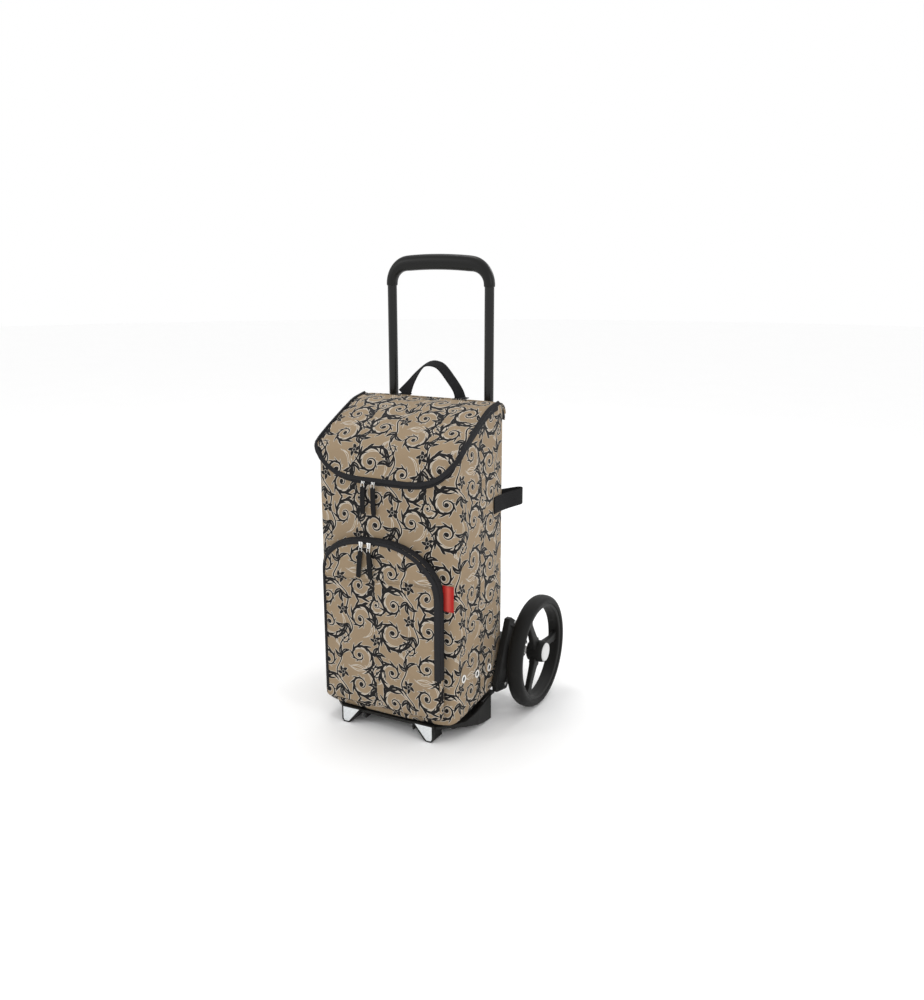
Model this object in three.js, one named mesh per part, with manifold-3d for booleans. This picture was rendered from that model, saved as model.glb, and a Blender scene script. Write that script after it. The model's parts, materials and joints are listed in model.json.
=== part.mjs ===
// Shopping trolley: a rack with two wheels, a telescopic handle, a folding platform and a lift-off bag.
// Millimetres, +Z up, front towards -Y, left is -X. The origin is on the ground, in the outline's middle.
import * as THREE from 'three';
import { mergeVertices } from 'three/addons/utils/BufferGeometryUtils.js';
import Module from 'manifold-3d';

const wasm = await Module();
wasm.setup();

const GAP = 0.3; // between two pieces that touch
const SIDES = [['left', -1], ['right', 1]];

// Handle and lower tubes
const LEG = { x: 122.5, y: 50 };
const INNER_TUBE = { r: 10.5, bore: 9.3, bottom: 475 };
const OUTER_TUBE = { r: 12.5, bore: 10.8, bottom: 70, top: 548 };
const HANDLE_TOP = 1030;
const BEND = { r: 45, arch: THREE.MathUtils.degToRad(5) };
const GRIP = { height: 34, depth: 25, overlap: 4 };
const COLLAR = { r: 18, bottom: 520, top: 562, flat: 35.5 };
const LOCK = { z: 540, r: 7, bossR: 11, from: 70, to: 84, bossTo: 80, floor: 65.6 };

// Wheels: the tyre's middle plane is at the side's WHEEL.x
const WHEEL = { x: 230, r: 131, width: 36, seat: 112, opening: 105 };
const AXLE = { y: 90.5, z: WHEEL.r, r: 11, bore: 7.8, stub: 7.5, half: 197 };
const HUB = { r: 25, from: -16, to: 23, bore: 13.3, recess: 22, floor: 15.5 };
const CAP = { r: 21.5, from: 20, to: 26 };
const SPOKE = { count: 3, width: 24, tip: 18, inner: 15, outer: 108, from: -7, to: 8 };

// Side view of the cheek that leans back along each rear corner of the bag
const CHEEK = [[-36, 84], [-32, 66], [16, 57], [26, 66], [76, 190], [73, 201], [40, 222], [27, 222]];

// Platform that folds about the hinge rod
const HINGE = { y: 46, z: 50, r: 4, half: 138, lugR: 9, lugWidth: 35, lugs: [-95, 60] };
const PLATE = { half: 150, front: -196, rear: 34, bottom: 30, top: 36 };
const SKIRT = { x: 175.5, wall: 4, rear: -36 };
const FOOT = { inner: 67, toe: 94, outer: 118, front: -203.5, back: -163, recess: 2.8, rim: 3 };

// Bag
const BAG = { half: 170.5, front: -194, rear: 34.5, bottom: 37, wall: 5, frontR: 28, rearR: 24 };
const BAG_BASE = { inset: 15, rise: 22 };
const LID = { hingeY: 0, lip: 574, front: -199.5, bandOut: 3.5 };
// Side view of the mouth, from the lid's hinge line to the lip at the front
const MOUTH = [[LID.hingeY, 716], [-50, 704], [-130, 663], [-172, 634], [-187, 612], [-187.6, LID.lip]];
const WALLS_TO = 800; // higher than any wall of the bag before the mouth is cut
const ZIP = { depth: 2, height: 8.5 };
const POCKET = { x: -6, half: 145, bottom: 62, shoulder: 330, top: 440, wall: 5 };
const POCKET_Y = { back: -194.3, seam: -210, front: -215.3 };
const EYELETS = [[-164.5, 147], [-102.5, 135], [-41.5, 127]];
const EYELET = { r: 7.5, hole: 5, bore: 3.6 };
const SLIDER = { half: 5, depth: 4, halfHeight: 7 };
const MAIN_SLIDER = { y: -196.7, z: 566, x: [-49, -24] };
const POCKET_SLIDER = { y: -215.6, z: 430, x: [-46, -26] };
const PULL = { width: 12, length: 70, thick: 1.6, clear: 0.6, below: 3 };
const LABEL = { x0: 141, x1: 166, front: -197.2, back: -195.9, bottom: 301, top: 365 };
const LOOP = { z: 498, height: 38, thick: 2.4 };

const X = new THREE.Vector3(1, 0, 0);
const Y = new THREE.Vector3(0, 1, 0);
const Z = new THREE.Vector3(0, 0, 1);
const EXTRUDE_ALONG = {
  x: new THREE.Matrix4().makeBasis(Y, Z, X),
  y: new THREE.Matrix4().makeBasis(X, Z, Y.clone().negate()),
  z: new THREE.Matrix4(),
};
const TURN_ABOUT = {
  x: new THREE.Matrix4().makeBasis(Z, X, Y),
  y: new THREE.Matrix4(),
  z: new THREE.Matrix4().makeBasis(X, Z, Y.clone().negate()),
};

// ---- solids: closed geometries, joined and cut ----

function solidOf(geometry) {
  const bare = geometry.clone();
  bare.deleteAttribute('normal');
  bare.deleteAttribute('uv');
  const welded = mergeVertices(bare, 1e-3);
  const faces = [];
  for (let i = 0; i < welded.index.count; i += 3) {
    const [a, b, c] = welded.index.array.slice(i, i + 3);
    if (a !== b && b !== c && c !== a) faces.push(a, b, c);
  }
  return new wasm.Manifold(new wasm.Mesh({
    numProp: 3,
    vertProperties: new Float32Array(welded.attributes.position.array),
    triVerts: new Uint32Array(faces),
  }));
}

function geometryOf(solid) {
  const mesh = solid.getMesh();
  const geometry = new THREE.BufferGeometry();
  geometry.setAttribute('position', new THREE.BufferAttribute(mesh.vertProperties, 3));
  geometry.setIndex(new THREE.BufferAttribute(mesh.triVerts, 1));
  return geometry;
}

function join(first, ...others) {
  return geometryOf(others.reduce((sum, next) => sum.add(solidOf(next)), solidOf(first)));
}

function cut(first, ...tools) {
  return geometryOf(tools.reduce((rest, tool) => rest.subtract(solidOf(tool)), solidOf(first)));
}

function common(first, second) {
  return geometryOf(solidOf(first).intersect(solidOf(second)));
}

function shapeOf(outline) {
  if (outline instanceof THREE.Shape) return outline;
  return new THREE.Shape(outline.map(([a, b]) => new THREE.Vector2(a, b)));
}

// An outline pushed along an axis. Outlines are (y, z) along x, (x, z) along y and (x, y) along z.
function prism(outline, axis, from, to, bevel = 0) {
  const geometry = new THREE.ExtrudeGeometry(shapeOf(outline), {
    depth: to - from - 2 * bevel,
    curveSegments: 6,
    bevelEnabled: bevel > 0,
    bevelThickness: bevel,
    bevelSize: bevel,
    bevelOffset: -bevel,
    bevelSegments: 1,
  });
  geometry.translate(0, 0, (axis === 'y' ? -to : from) + bevel);
  return geometry.applyMatrix4(EXTRUDE_ALONG[axis]);
}

function circle(a, b, r, sides = 24) {
  const turn = (2 * Math.PI) / sides;
  return Array.from({ length: sides }, (_, i) => [a + r * Math.cos(i * turn), b + r * Math.sin(i * turn)]);
}

function rod(axis, a, b, r, from, to, sides = 24) {
  return prism(circle(a, b, r, sides), axis, from, to);
}

function pipe(axis, a, b, r, bore, from, to, sides = 24) {
  return cut(rod(axis, a, b, r, from, to, sides), rod(axis, a, b, bore, from - 1, to + 1, sides));
}

function block(x0, x1, y0, y1, z0, z1, bevel = 0) {
  return prism([[x0, y0], [x1, y0], [x1, y1], [x0, y1]], 'z', z0, z1, bevel);
}

// A closed (radius, height) profile turned about an axis through the origin.
function turned(profile, axis, segments) {
  const points = profile.map(([r, h]) => new THREE.Vector2(r, h));
  const geometry = new THREE.LatheGeometry([...points, points[0]], segments);
  return geometry.applyMatrix4(TURN_ABOUT[axis]);
}

function roundedOutline(x0, x1, y0, y1, frontR, rearR) {
  const shape = new THREE.Shape();
  shape.moveTo(x0 + frontR, y0);
  shape.absarc(x1 - frontR, y0 + frontR, frontR, -Math.PI / 2, 0);
  shape.absarc(x1 - rearR, y1 - rearR, rearR, 0, Math.PI / 2);
  shape.absarc(x0 + rearR, y1 - rearR, rearR, Math.PI / 2, Math.PI);
  shape.absarc(x0 + frontR, y0 + frontR, frontR, Math.PI, 1.5 * Math.PI);
  return shape;
}

// A line of points moved sideways, to the left of its direction.
function offsetLine(points, distance) {
  return points.map(([a, b], i) => {
    const before = points[Math.max(i - 1, 0)];
    const after = points[Math.min(i + 1, points.length - 1)];
    const along = new THREE.Vector2(after[0] - before[0], after[1] - before[1]).normalize();
    return [a - along.y * distance, b + along.x * distance];
  });
}

// A band of even thickness along an open line of points.
function bandOutline(points, thick) {
  return [...offsetLine(points, -thick / 2), ...offsetLine(points, thick / 2).reverse()];
}

// A line of stations, each with its own direction, for sections swept round bends.
class Route extends THREE.Curve {
  constructor(stations) {
    super();
    this.stations = stations;
  }

  station(u) {
    return this.stations[Math.round(u * (this.stations.length - 1))];
  }

  getPointAt(u, target = new THREE.Vector3()) {
    return target.copy(this.station(u).point);
  }

  getTangentAt(u, target = new THREE.Vector3()) {
    return target.copy(this.station(u).tangent);
  }
}

function sweep(outline, stations) {
  return new THREE.ExtrudeGeometry(shapeOf(outline), {
    steps: stations.length - 1,
    extrudePath: new Route(stations),
  });
}

function ringOutline(r, bore, sides) {
  const shape = shapeOf(circle(0, 0, r, sides));
  shape.holes.push(new THREE.Path(circle(0, 0, bore, sides).map(([a, b]) => new THREE.Vector2(a, b))));
  return shape;
}

// ---- scene ----

const trolley = new THREE.Group();

const FINISH = {
  gloss_black: { color: 0x17181a, roughness: 0.35, metalness: 0.1 },
  moulded_black: { color: 0x202123, roughness: 0.55, metalness: 0 },
  tyre_black: { color: 0x1b1b1b, roughness: 0.85, metalness: 0 },
  steel: { color: 0x9a9c9f, roughness: 0.3, metalness: 1 },
  cap_silver: { color: 0xc9cac8, roughness: 0.35, metalness: 0.2 },
  reflector: { color: 0xe9ebec, roughness: 0.25, metalness: 0 },
  printed_fabric: { color: 0x9c8468, roughness: 0.8, metalness: 0 },
  charcoal_tape: { color: 0x36363a, roughness: 0.85, metalness: 0 },
  red_label: { color: 0xc02822, roughness: 0.6, metalness: 0 },
  eyelet_white: { color: 0xe4e4e0, roughness: 0.4, metalness: 0 },
  board: { color: 0x2c2a28, roughness: 0.9, metalness: 0 },
};

function add(name, geometry, finish, parent = trolley) {
  const mesh = new THREE.Mesh(join(geometry), new THREE.MeshStandardMaterial(FINISH[finish]));
  mesh.name = name;
  parent.add(mesh);
}

// ---- handle ----

const BAR_HALF = LEG.x - BEND.r + BEND.r * Math.sin(BEND.arch);
const ARCH_R = BAR_HALF / Math.sin(BEND.arch);
const ARCH_RISE = ARCH_R * (1 - Math.cos(BEND.arch));
const BEND_Z = HANDLE_TOP - GRIP.height / 2 - ARCH_RISE - BEND.r * Math.cos(BEND.arch);

function handleStation(x, z, angle) {
  return {
    point: new THREE.Vector3(x, LEG.y, z),
    tangent: new THREE.Vector3(Math.sin(angle), 0, Math.cos(angle)),
  };
}

// From the left leg round to the right one, starting and ending at height legZ.
function handleStations(legZ, bendSteps = 6, archSteps = 6) {
  const stations = [handleStation(-LEG.x, legZ, 0)];
  const bendAngle = Math.PI / 2 - BEND.arch;
  for (let i = 0; i <= bendSteps; i++) {
    const angle = (bendAngle * i) / bendSteps;
    const x = -LEG.x + BEND.r * (1 - Math.cos(angle));
    stations.push(handleStation(x, BEND_Z + BEND.r * Math.sin(angle), angle));
  }
  const archZ = HANDLE_TOP - GRIP.height / 2 - ARCH_R;
  for (let i = 1; i < archSteps; i++) {
    const lean = BEND.arch * ((2 * i) / archSteps - 1);
    const z = archZ + ARCH_R * Math.cos(lean);
    stations.push(handleStation(ARCH_R * Math.sin(lean), z, Math.PI / 2 + lean));
  }
  for (let i = bendSteps; i >= 0; i--) {
    const angle = (bendAngle * i) / bendSteps;
    const x = LEG.x - BEND.r * (1 - Math.cos(angle));
    stations.push(handleStation(x, BEND_Z + BEND.r * Math.sin(angle), Math.PI - angle));
  }
  stations.push(handleStation(LEG.x, legZ, Math.PI));
  return stations;
}

function handleTube() {
  return sweep(ringOutline(INNER_TUBE.r, INNER_TUBE.bore, 16), handleStations(INNER_TUBE.bottom));
}

// The grip swells from the legs towards the middle of the bar, in height only.
function handleGrip() {
  const stations = handleStations(BEND_Z - GRIP.overlap);
  const bore = INNER_TUBE.r + GAP;
  const geometry = sweep(ringOutline(GRIP.depth / 2, bore, 16), stations);
  const position = geometry.attributes.position;
  const vertex = new THREE.Vector3();
  for (let i = 0; i < position.count; i++) {
    vertex.fromBufferAttribute(position, i);
    const distance = ({ point }) => point.distanceToSquared(vertex);
    const near = stations.reduce((best, next) => (distance(next) < distance(best) ? next : best));
    const offset = vertex.clone().sub(near.point);
    if (offset.length() < bore + 0.5) continue;
    const swell = Math.abs(near.tangent.x) ** 2 * (GRIP.height / GRIP.depth - 1);
    offset.x *= 1 + swell;
    offset.z *= 1 + swell;
    position.setXYZ(i, ...near.point.clone().add(offset));
  }
  return geometry;
}

add('handle_tube', handleTube(), 'gloss_black');
add('handle_grip', handleGrip(), 'gloss_black');

function tubePlug(x) {
  const neck = rod('z', x, LEG.y, INNER_TUBE.bore - GAP, INNER_TUBE.bottom, INNER_TUBE.bottom + 18, 16);
  const foot = rod('z', x, LEG.y, INNER_TUBE.r, INNER_TUBE.bottom - 3, INNER_TUBE.bottom - GAP, 16);
  return join(foot, neck, rod('z', x, LEG.y, 6, INNER_TUBE.bottom - 2, INNER_TUBE.bottom + 2, 16));
}

// ---- fixed frame ----

function tubeCollar(x) {
  const outside = join(
    rod('z', x, LEG.y, COLLAR.r, COLLAR.bottom, COLLAR.top),
    rod('y', x, LOCK.z, LOCK.bossR, LEG.y, LOCK.bossTo),
  );
  return cut(
    outside,
    rod('z', x, LEG.y, OUTER_TUBE.r + GAP, COLLAR.bottom - 1, OUTER_TUBE.top + GAP),
    rod('z', x, LEG.y, INNER_TUBE.r + GAP, COLLAR.bottom, COLLAR.top + 1),
    rod('y', x, LOCK.z, LOCK.r + GAP, LOCK.floor, LOCK.bossTo + 1),
    block(x - 30, x + 30, 0, COLLAR.flat, COLLAR.bottom - 5, COLLAR.top + 5),
  );
}

function lockButton(x) {
  return rod('y', x, LOCK.z, LOCK.r, LOCK.from, LOCK.to, 20);
}

function tubeBoot(x) {
  const outside = join(
    rod('z', x, LEG.y, OUTER_TUBE.r + 2.3, HINGE.z + 16, OUTER_TUBE.bottom + 36),
    block(x - 12, x + 12, 38, 60, HINGE.z - 10, HINGE.z + 19, 1.5),
  );
  return cut(
    outside,
    rod('z', x, LEG.y, OUTER_TUBE.r + GAP, OUTER_TUBE.bottom - GAP, OUTER_TUBE.bottom + 41),
    rod('x', HINGE.y, HINGE.z, HINGE.r + GAP, x - 20, x + 20, 16),
  );
}

function crossBar(z) {
  const half = LEG.x - OUTER_TUBE.r - GAP;
  return block(-half, half, LEG.y - 7, LEG.y + 7, z - 11, z + 11, 2);
}

// The cheek leans back along the bag's rear corner; the lobe behind it carries the axle tube.
function axleBracket(side) {
  const span = (near, far) => (side > 0 ? [near, far] : [-far, -near]);
  const lobe = [...circle(AXLE.y, AXLE.z, 22).slice(-8), ...circle(AXLE.y, AXLE.z, 22).slice(0, 9)];
  lobe.push([30, 154], [20, 100]);
  const groove = [[-22, 84], [14, 74], [58, 190], [34, 206]];
  return cut(
    join(
      prism(CHEEK, 'x', ...span(176.5, 190), 1.5),
      prism(lobe, 'x', ...span(178, 198)),
      block(...span(106, 182), 63, 112, AXLE.z - 22, AXLE.z + 22, 2),
    ),
    prism(groove, 'x', ...span(186, 192)),
    rod('x', AXLE.y, AXLE.z, AXLE.r + GAP, ...span(100, 200)),
  );
}

for (const [name, side] of SIDES) {
  const x = side * LEG.x;
  add(`tube_plug_${name}`, tubePlug(x), 'moulded_black');
  add(
    `lower_tube_${name}`,
    pipe('z', x, LEG.y, OUTER_TUBE.r, OUTER_TUBE.bore, OUTER_TUBE.bottom, OUTER_TUBE.top),
    'gloss_black',
  );
  add(`tube_collar_${name}`, tubeCollar(x), 'moulded_black');
  add(`lock_button_${name}`, lockButton(x), 'moulded_black');
  add(`tube_boot_${name}`, tubeBoot(x), 'moulded_black');
  add(`axle_bracket_${name}`, axleBracket(side), 'moulded_black');
}
add('upper_cross_bar', crossBar(480), 'moulded_black');
add('lower_cross_bar', crossBar(215), 'moulded_black');
add('axle_tube', pipe('x', AXLE.y, AXLE.z, AXLE.r, AXLE.bore, -AXLE.half, AXLE.half), 'steel');
add('hinge_rod', rod('x', HINGE.y, HINGE.z, HINGE.r, -HINGE.half, HINGE.half, 16), 'steel');

// ---- wheels: built with the hub axis on local X, outwards, and the tyre's middle at the origin ----

function tyre() {
  const half = WHEEL.width / 2;
  const tread = WHEEL.r;
  const seat = WHEEL.seat + GAP;
  const profile = [
    [seat, -half + 3], [seat + 3, -half], [tread - 8, -half], [tread - 2, -half + 7], [tread, 0],
    [tread - 2, half - 7], [tread - 8, half], [seat + 3, half], [seat, half - 3],
  ];
  return turned(profile, 'x', 48);
}

function rim() {
  const half = WHEEL.width / 2 - 3;
  const ring = [
    [WHEEL.opening, -half], [WHEEL.seat, -half], [WHEEL.seat, half], [WHEEL.opening, half],
  ];
  const spokes = Array.from({ length: SPOKE.count }, (_, i) => {
    const blade = [
      [SPOKE.inner, -SPOKE.width / 2], [SPOKE.outer, -SPOKE.tip / 2],
      [SPOKE.outer, SPOKE.tip / 2], [SPOKE.inner, SPOKE.width / 2],
    ];
    return prism(blade, 'x', SPOKE.from, SPOKE.to).rotateX((i * 2 * Math.PI) / SPOKE.count);
  });
  return cut(
    join(turned(ring, 'x', 48), ...spokes, rod('x', 0, 0, HUB.r, HUB.from, HUB.to)),
    rod('x', 0, 0, HUB.bore, HUB.from - 1, HUB.to + 1),
    rod('x', 0, 0, HUB.recess, HUB.floor, HUB.to + 1),
  );
}

function hubBush(from, to) {
  return pipe('x', 0, 0, HUB.bore - GAP, AXLE.bore, from, to);
}

function stubAxle() {
  const inner = AXLE.half - WHEEL.x;
  return join(
    rod('x', 0, 0, AXLE.stub, inner - 50, HUB.floor - 1),
    rod('x', 0, 0, 13, inner + 1.5, HUB.from - 2),
  );
}

function hubCap() {
  return prism(circle(0, 0, CAP.r), 'x', CAP.from, CAP.to, 1.2);
}

for (const [name, side] of SIDES) {
  const wheel = new THREE.Group();
  wheel.position.set(side * WHEEL.x, AXLE.y, AXLE.z);
  wheel.rotation.z = side > 0 ? 0 : Math.PI;
  trolley.add(wheel);
  add(`tyre_${name}`, tyre(), 'tyre_black', wheel);
  add(`rim_${name}`, rim(), 'moulded_black', wheel);
  add(`hub_bush_inner_${name}`, hubBush(HUB.from + 0.5, -4), 'moulded_black', wheel);
  add(`hub_bush_outer_${name}`, hubBush(3, HUB.floor - 0.5), 'moulded_black', wheel);
  add(`stub_axle_${name}`, stubAxle(), 'steel', wheel);
  add(`hub_cap_${name}`, hubCap(), 'cap_silver', wheel);
}

// ---- platform ----

// Top view of the platform: wide at the heel, drawn in towards the front feet.
function platformOutline(inset) {
  const half = [[SKIRT.x, SKIRT.rear], [174, -95], [166, -140], [148, -172], [121, PLATE.front]];
  const right = half.map(([x, y]) => [x - inset, y]).reverse();
  const left = right.map(([x, y]) => [-x, y]).reverse();
  return [...right, ...left];
}

function basePlatform() {
  const deck = join(
    prism(platformOutline(0), 'z', PLATE.bottom, PLATE.top),
    block(-PLATE.half, PLATE.half, SKIRT.rear - 10, PLATE.rear, PLATE.bottom, PLATE.top),
  );
  // The skirt rises in an arch from the heel at the back to the front feet.
  const sideView = [
    [SKIRT.rear, 2], [-72, 5], [-98, 11], [-128, 20], [-160, 27], [-205, 27],
    [-205, 33], [-140, 36], [-115, 40], [SKIRT.rear, 60],
  ].reverse();
  const wall = cut(prism(platformOutline(0), 'z', 0, 70), prism(platformOutline(SKIRT.wall), 'z', -1, 71));
  const corners = join(
    block(120, 200, -170, SKIRT.rear, 0, 70),
    block(-200, -120, -170, SKIRT.rear, 0, 70),
  );
  const skirts = common(common(wall, corners), prism(sideView, 'x', -200, 200));
  const pieces = [skirts];
  for (const [, side] of SIDES) {
    const span = (near, far) => (side > 0 ? [near, far] : [-far, -near]);
    pieces.push(block(...span(120, SKIRT.x - 1), SKIRT.rear - 5, SKIRT.rear, 2, PLATE.bottom + 1));
    pieces.push(block(...span(60, 64), PLATE.front + 4, 20, 16, PLATE.bottom + 1));
  }
  const lug = [
    [20, 30], [38, 30], [54, 45], ...circle(HINGE.y, HINGE.z, HINGE.lugR, 16).slice(0, 9),
    [35.2, 40], [35.2, 36], [20, 36],
  ];
  for (const x of HINGE.lugs) pieces.push(prism(lug, 'x', x, x + HINGE.lugWidth));
  return cut(join(deck, ...pieces), rod('x', HINGE.y, HINGE.z, HINGE.r + GAP, -140, 140, 16));
}

// Front view of a foot, with its rim line moved in by an inset.
function footOutline(side, inset) {
  const points = [
    [FOOT.inner + 1.6 * inset, 40 - inset], [FOOT.toe + inset, 4 + inset], [FOOT.toe + 7, inset],
    [FOOT.outer - 5 - inset / 2, inset], [FOOT.outer - inset, 5 + inset], [FOOT.outer - inset, 40 - inset],
  ].map(([x, z]) => [side * x, z]);
  return side > 0 ? points : points.reverse();
}

function frontFoot(side) {
  const body = join(
    prism(footOutline(side, 0), 'y', FOOT.front, PLATE.front + 4.5),
    common(
      prism(footOutline(side, 0), 'y', PLATE.front, FOOT.back),
      block(-200, 200, PLATE.front, FOOT.back, 0, PLATE.bottom - GAP),
    ),
  );
  const recess = prism(footOutline(side, FOOT.rim), 'y', FOOT.front - 1, FOOT.front + FOOT.recess);
  const deckCorner = block(-200, 200, PLATE.front - GAP, FOOT.back + 1, PLATE.bottom - GAP, 60);
  return cut(body, recess, deckCorner);
}

function reflector(side) {
  return prism(footOutline(side, FOOT.rim + GAP), 'y', FOOT.front + 0.4, FOOT.front + FOOT.recess - GAP);
}

add('base_platform', basePlatform(), 'moulded_black');
for (const [name, side] of SIDES) {
  add(`front_foot_${name}`, frontFoot(side), 'moulded_black');
  add(`reflector_${name}`, reflector(side), 'reflector');
}

// ---- bag ----

function bagOutline(grow, front = BAG.front) {
  return roundedOutline(
    -BAG.half - grow, BAG.half + grow, front - grow, BAG.rear + grow, BAG.frontR + grow, BAG.rearR + grow,
  );
}

function bagBlock(inset, bottom, top) {
  const geometry = new THREE.ExtrudeGeometry(bagOutline(-inset), {
    depth: top - bottom - 2 * BAG_BASE.rise,
    curveSegments: 5,
    bevelThickness: BAG_BASE.rise,
    bevelSize: BAG_BASE.inset,
    bevelOffset: -BAG_BASE.inset,
    bevelSegments: 3,
  });
  return geometry.translate(0, 0, bottom + BAG_BASE.rise);
}

function bagShell() {
  const outside = common(
    bagBlock(0, BAG.bottom, WALLS_TO),
    prism([
      [BAG.rear + 5, 0], [BAG.rear + 5, 694], [31, 706], [22, 715], [8, 720], [LID.hingeY, 720],
      ...MOUTH, [BAG.front - 5, LID.lip], [BAG.front - 5, 0],
    ], 'x', -200, 200),
  );
  const inside = common(
    bagBlock(BAG.wall, BAG.bottom + BAG.wall, WALLS_TO + 20),
    prism([
      [BAG.rear, 0], [BAG.rear, 692], [26, 702], [18, 710], [LID.hingeY, 711], [LID.hingeY - 3, 780],
      [BAG.front, 780], [BAG.front, 0],
    ], 'x', -200, 200),
  );
  const holes = EYELETS.map(([y, z]) => rod('x', y, z, EYELET.hole, -200, 200, 16));
  return cut(outside, inside, ...holes);
}

function bottomBoard() {
  const inset = BAG.wall + BAG_BASE.inset + 4;
  return prism(bagOutline(-inset), 'z', BAG.bottom + BAG.wall + GAP, BAG.bottom + BAG.wall + 3);
}

// One half of the zip: a low band outside the mouth, between two distances outside the mouth line.
function zipBand(front, near, far) {
  const line = [[LID.hingeY - 2, 715.2], ...MOUTH.slice(1), [-240, LID.lip]];
  const strip = [...offsetLine(line, -far), ...offsetLine(line, -near).reverse()];
  const ring = cut(
    prism(bagOutline(GAP + ZIP.depth, front), 'z', 540, 740),
    prism(bagOutline(GAP, front), 'z', 539, 741),
  );
  return common(ring, prism(strip, 'x', -200, 200));
}

function lid() {
  const side = [
    [LID.hingeY - GAP, 722], [-50, 710.5], [-132, 670], [-180, 641], [-196, 625], [-203, 598],
    [-203, LID.lip + GAP], [-188, LID.lip + GAP], [-187.3, 612.5], [-172, 634.6], [-130, 663.6],
    [-50, 704.6], [LID.hingeY - GAP, 716.6],
  ];
  return common(prism(side, 'x', -200, 200), prism(bagOutline(0, LID.front), 'z', 540, 740));
}

function pocketOutline(grow) {
  const half = POCKET.half + grow;
  const top = POCKET.top + grow;
  const shape = new THREE.Shape();
  shape.moveTo(POCKET.x - half, POCKET.bottom - grow);
  shape.lineTo(POCKET.x + half, POCKET.bottom - grow);
  shape.lineTo(POCKET.x + half, POCKET.shoulder);
  shape.bezierCurveTo(POCKET.x + half, 385, POCKET.x + 95, top, POCKET.x, top);
  shape.bezierCurveTo(POCKET.x - 95, top, POCKET.x - half, 385, POCKET.x - half, POCKET.shoulder);
  return shape;
}

function pocketGusset() {
  return cut(
    prism(pocketOutline(0), 'y', POCKET_Y.seam, POCKET_Y.back),
    prism(pocketOutline(-POCKET.wall), 'y', POCKET_Y.seam - 1, POCKET_Y.back + 1),
  );
}

function pocketPanel() {
  return prism(pocketOutline(0), 'y', POCKET_Y.front, POCKET_Y.seam - GAP);
}

function eyelet(side, y, z) {
  const profile = [
    [EYELET.bore, -BAG.wall], [EYELET.hole - GAP, -BAG.wall], [EYELET.hole - GAP, GAP],
    [EYELET.r, GAP], [EYELET.r, 1.2], [EYELET.bore, 1.8],
  ];
  const geometry = turned(profile, 'x', 16);
  if (side < 0) geometry.rotateZ(Math.PI);
  return geometry.translate(side * BAG.half, y, z);
}

function carryStrap() {
  const line = [
    [-75, 720.5], [-69, 735], [-48, 758], [-20, 783], [-8, 790], [8, 792], [22, 784], [46, 758], [62, 735],
    [67, 720.5],
  ];
  return prism(bandOutline(line, 2.4), 'y', 10, 33);
}

// Webbing that leaves the side panel, loops out behind the rear corner and returns to the rear panel.
function sideLoop(side) {
  const line = [
    [173.6, -18], [173.8, 8], [178, 40], [186, 70], [189, 88],
    [183, 97], [173, 92], [160, 66], [150, 47], [139, 37],
  ];
  const outline = bandOutline(line.map(([x, y]) => [side * x, y]), LOOP.thick);
  return prism(outline, 'z', LOOP.z - LOOP.height / 2, LOOP.z + LOOP.height / 2);
}

function slider(x, { y, z }) {
  return block(
    x - SLIDER.half, x + SLIDER.half, y - SLIDER.depth, y, z - SLIDER.halfHeight, z + SLIDER.halfHeight, 1.2,
  );
}

// A pull tab that hangs in front of its slider, clear of it when it swings up.
function pullTab(x, { y, z }) {
  const back = y - SLIDER.depth - PULL.clear;
  const top = z - PULL.below;
  return block(x - PULL.width / 2, x + PULL.width / 2, back - PULL.thick, back, top - PULL.length, top, 0.5);
}

add('bag_shell', bagShell(), 'printed_fabric');
add('bottom_board', bottomBoard(), 'board');
add('main_zip_band', zipBand(BAG.front, -ZIP.height, -0.4), 'charcoal_tape');
add('lid_panel', lid(), 'printed_fabric');
add('lid_zip_band', zipBand(LID.front - LID.bandOut, 1, ZIP.height), 'charcoal_tape');
add('pocket_gusset', pocketGusset(), 'charcoal_tape');
add('pocket_panel', pocketPanel(), 'printed_fabric');
add('carry_strap', carryStrap(), 'charcoal_tape');
add(
  'side_label',
  block(LABEL.x0, LABEL.x1, LABEL.front, LABEL.back, LABEL.bottom, LABEL.top, 0.3),
  'red_label',
);
for (const [name, side] of SIDES) {
  add(`side_loop_${name}`, sideLoop(side), 'charcoal_tape');
  EYELETS.forEach(([y, z], i) => add(`eyelet_${name}_${i + 1}`, eyelet(side, y, z), 'eyelet_white'));
}

SIDES.forEach(([name], i) => {
  add(`main_slider_${name}`, slider(MAIN_SLIDER.x[i], MAIN_SLIDER), 'steel');
  add(`main_pull_${name}`, pullTab(MAIN_SLIDER.x[i], MAIN_SLIDER), 'charcoal_tape');
  add(`pocket_slider_${name}`, slider(POCKET_SLIDER.x[i], POCKET_SLIDER), 'steel');
  add(`pocket_pull_${name}`, pullTab(POCKET_SLIDER.x[i], POCKET_SLIDER), 'charcoal_tape');
});

export default trolley;
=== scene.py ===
import json
import math

import bmesh
import bpy
from mathutils import Matrix, Vector, noise


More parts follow.
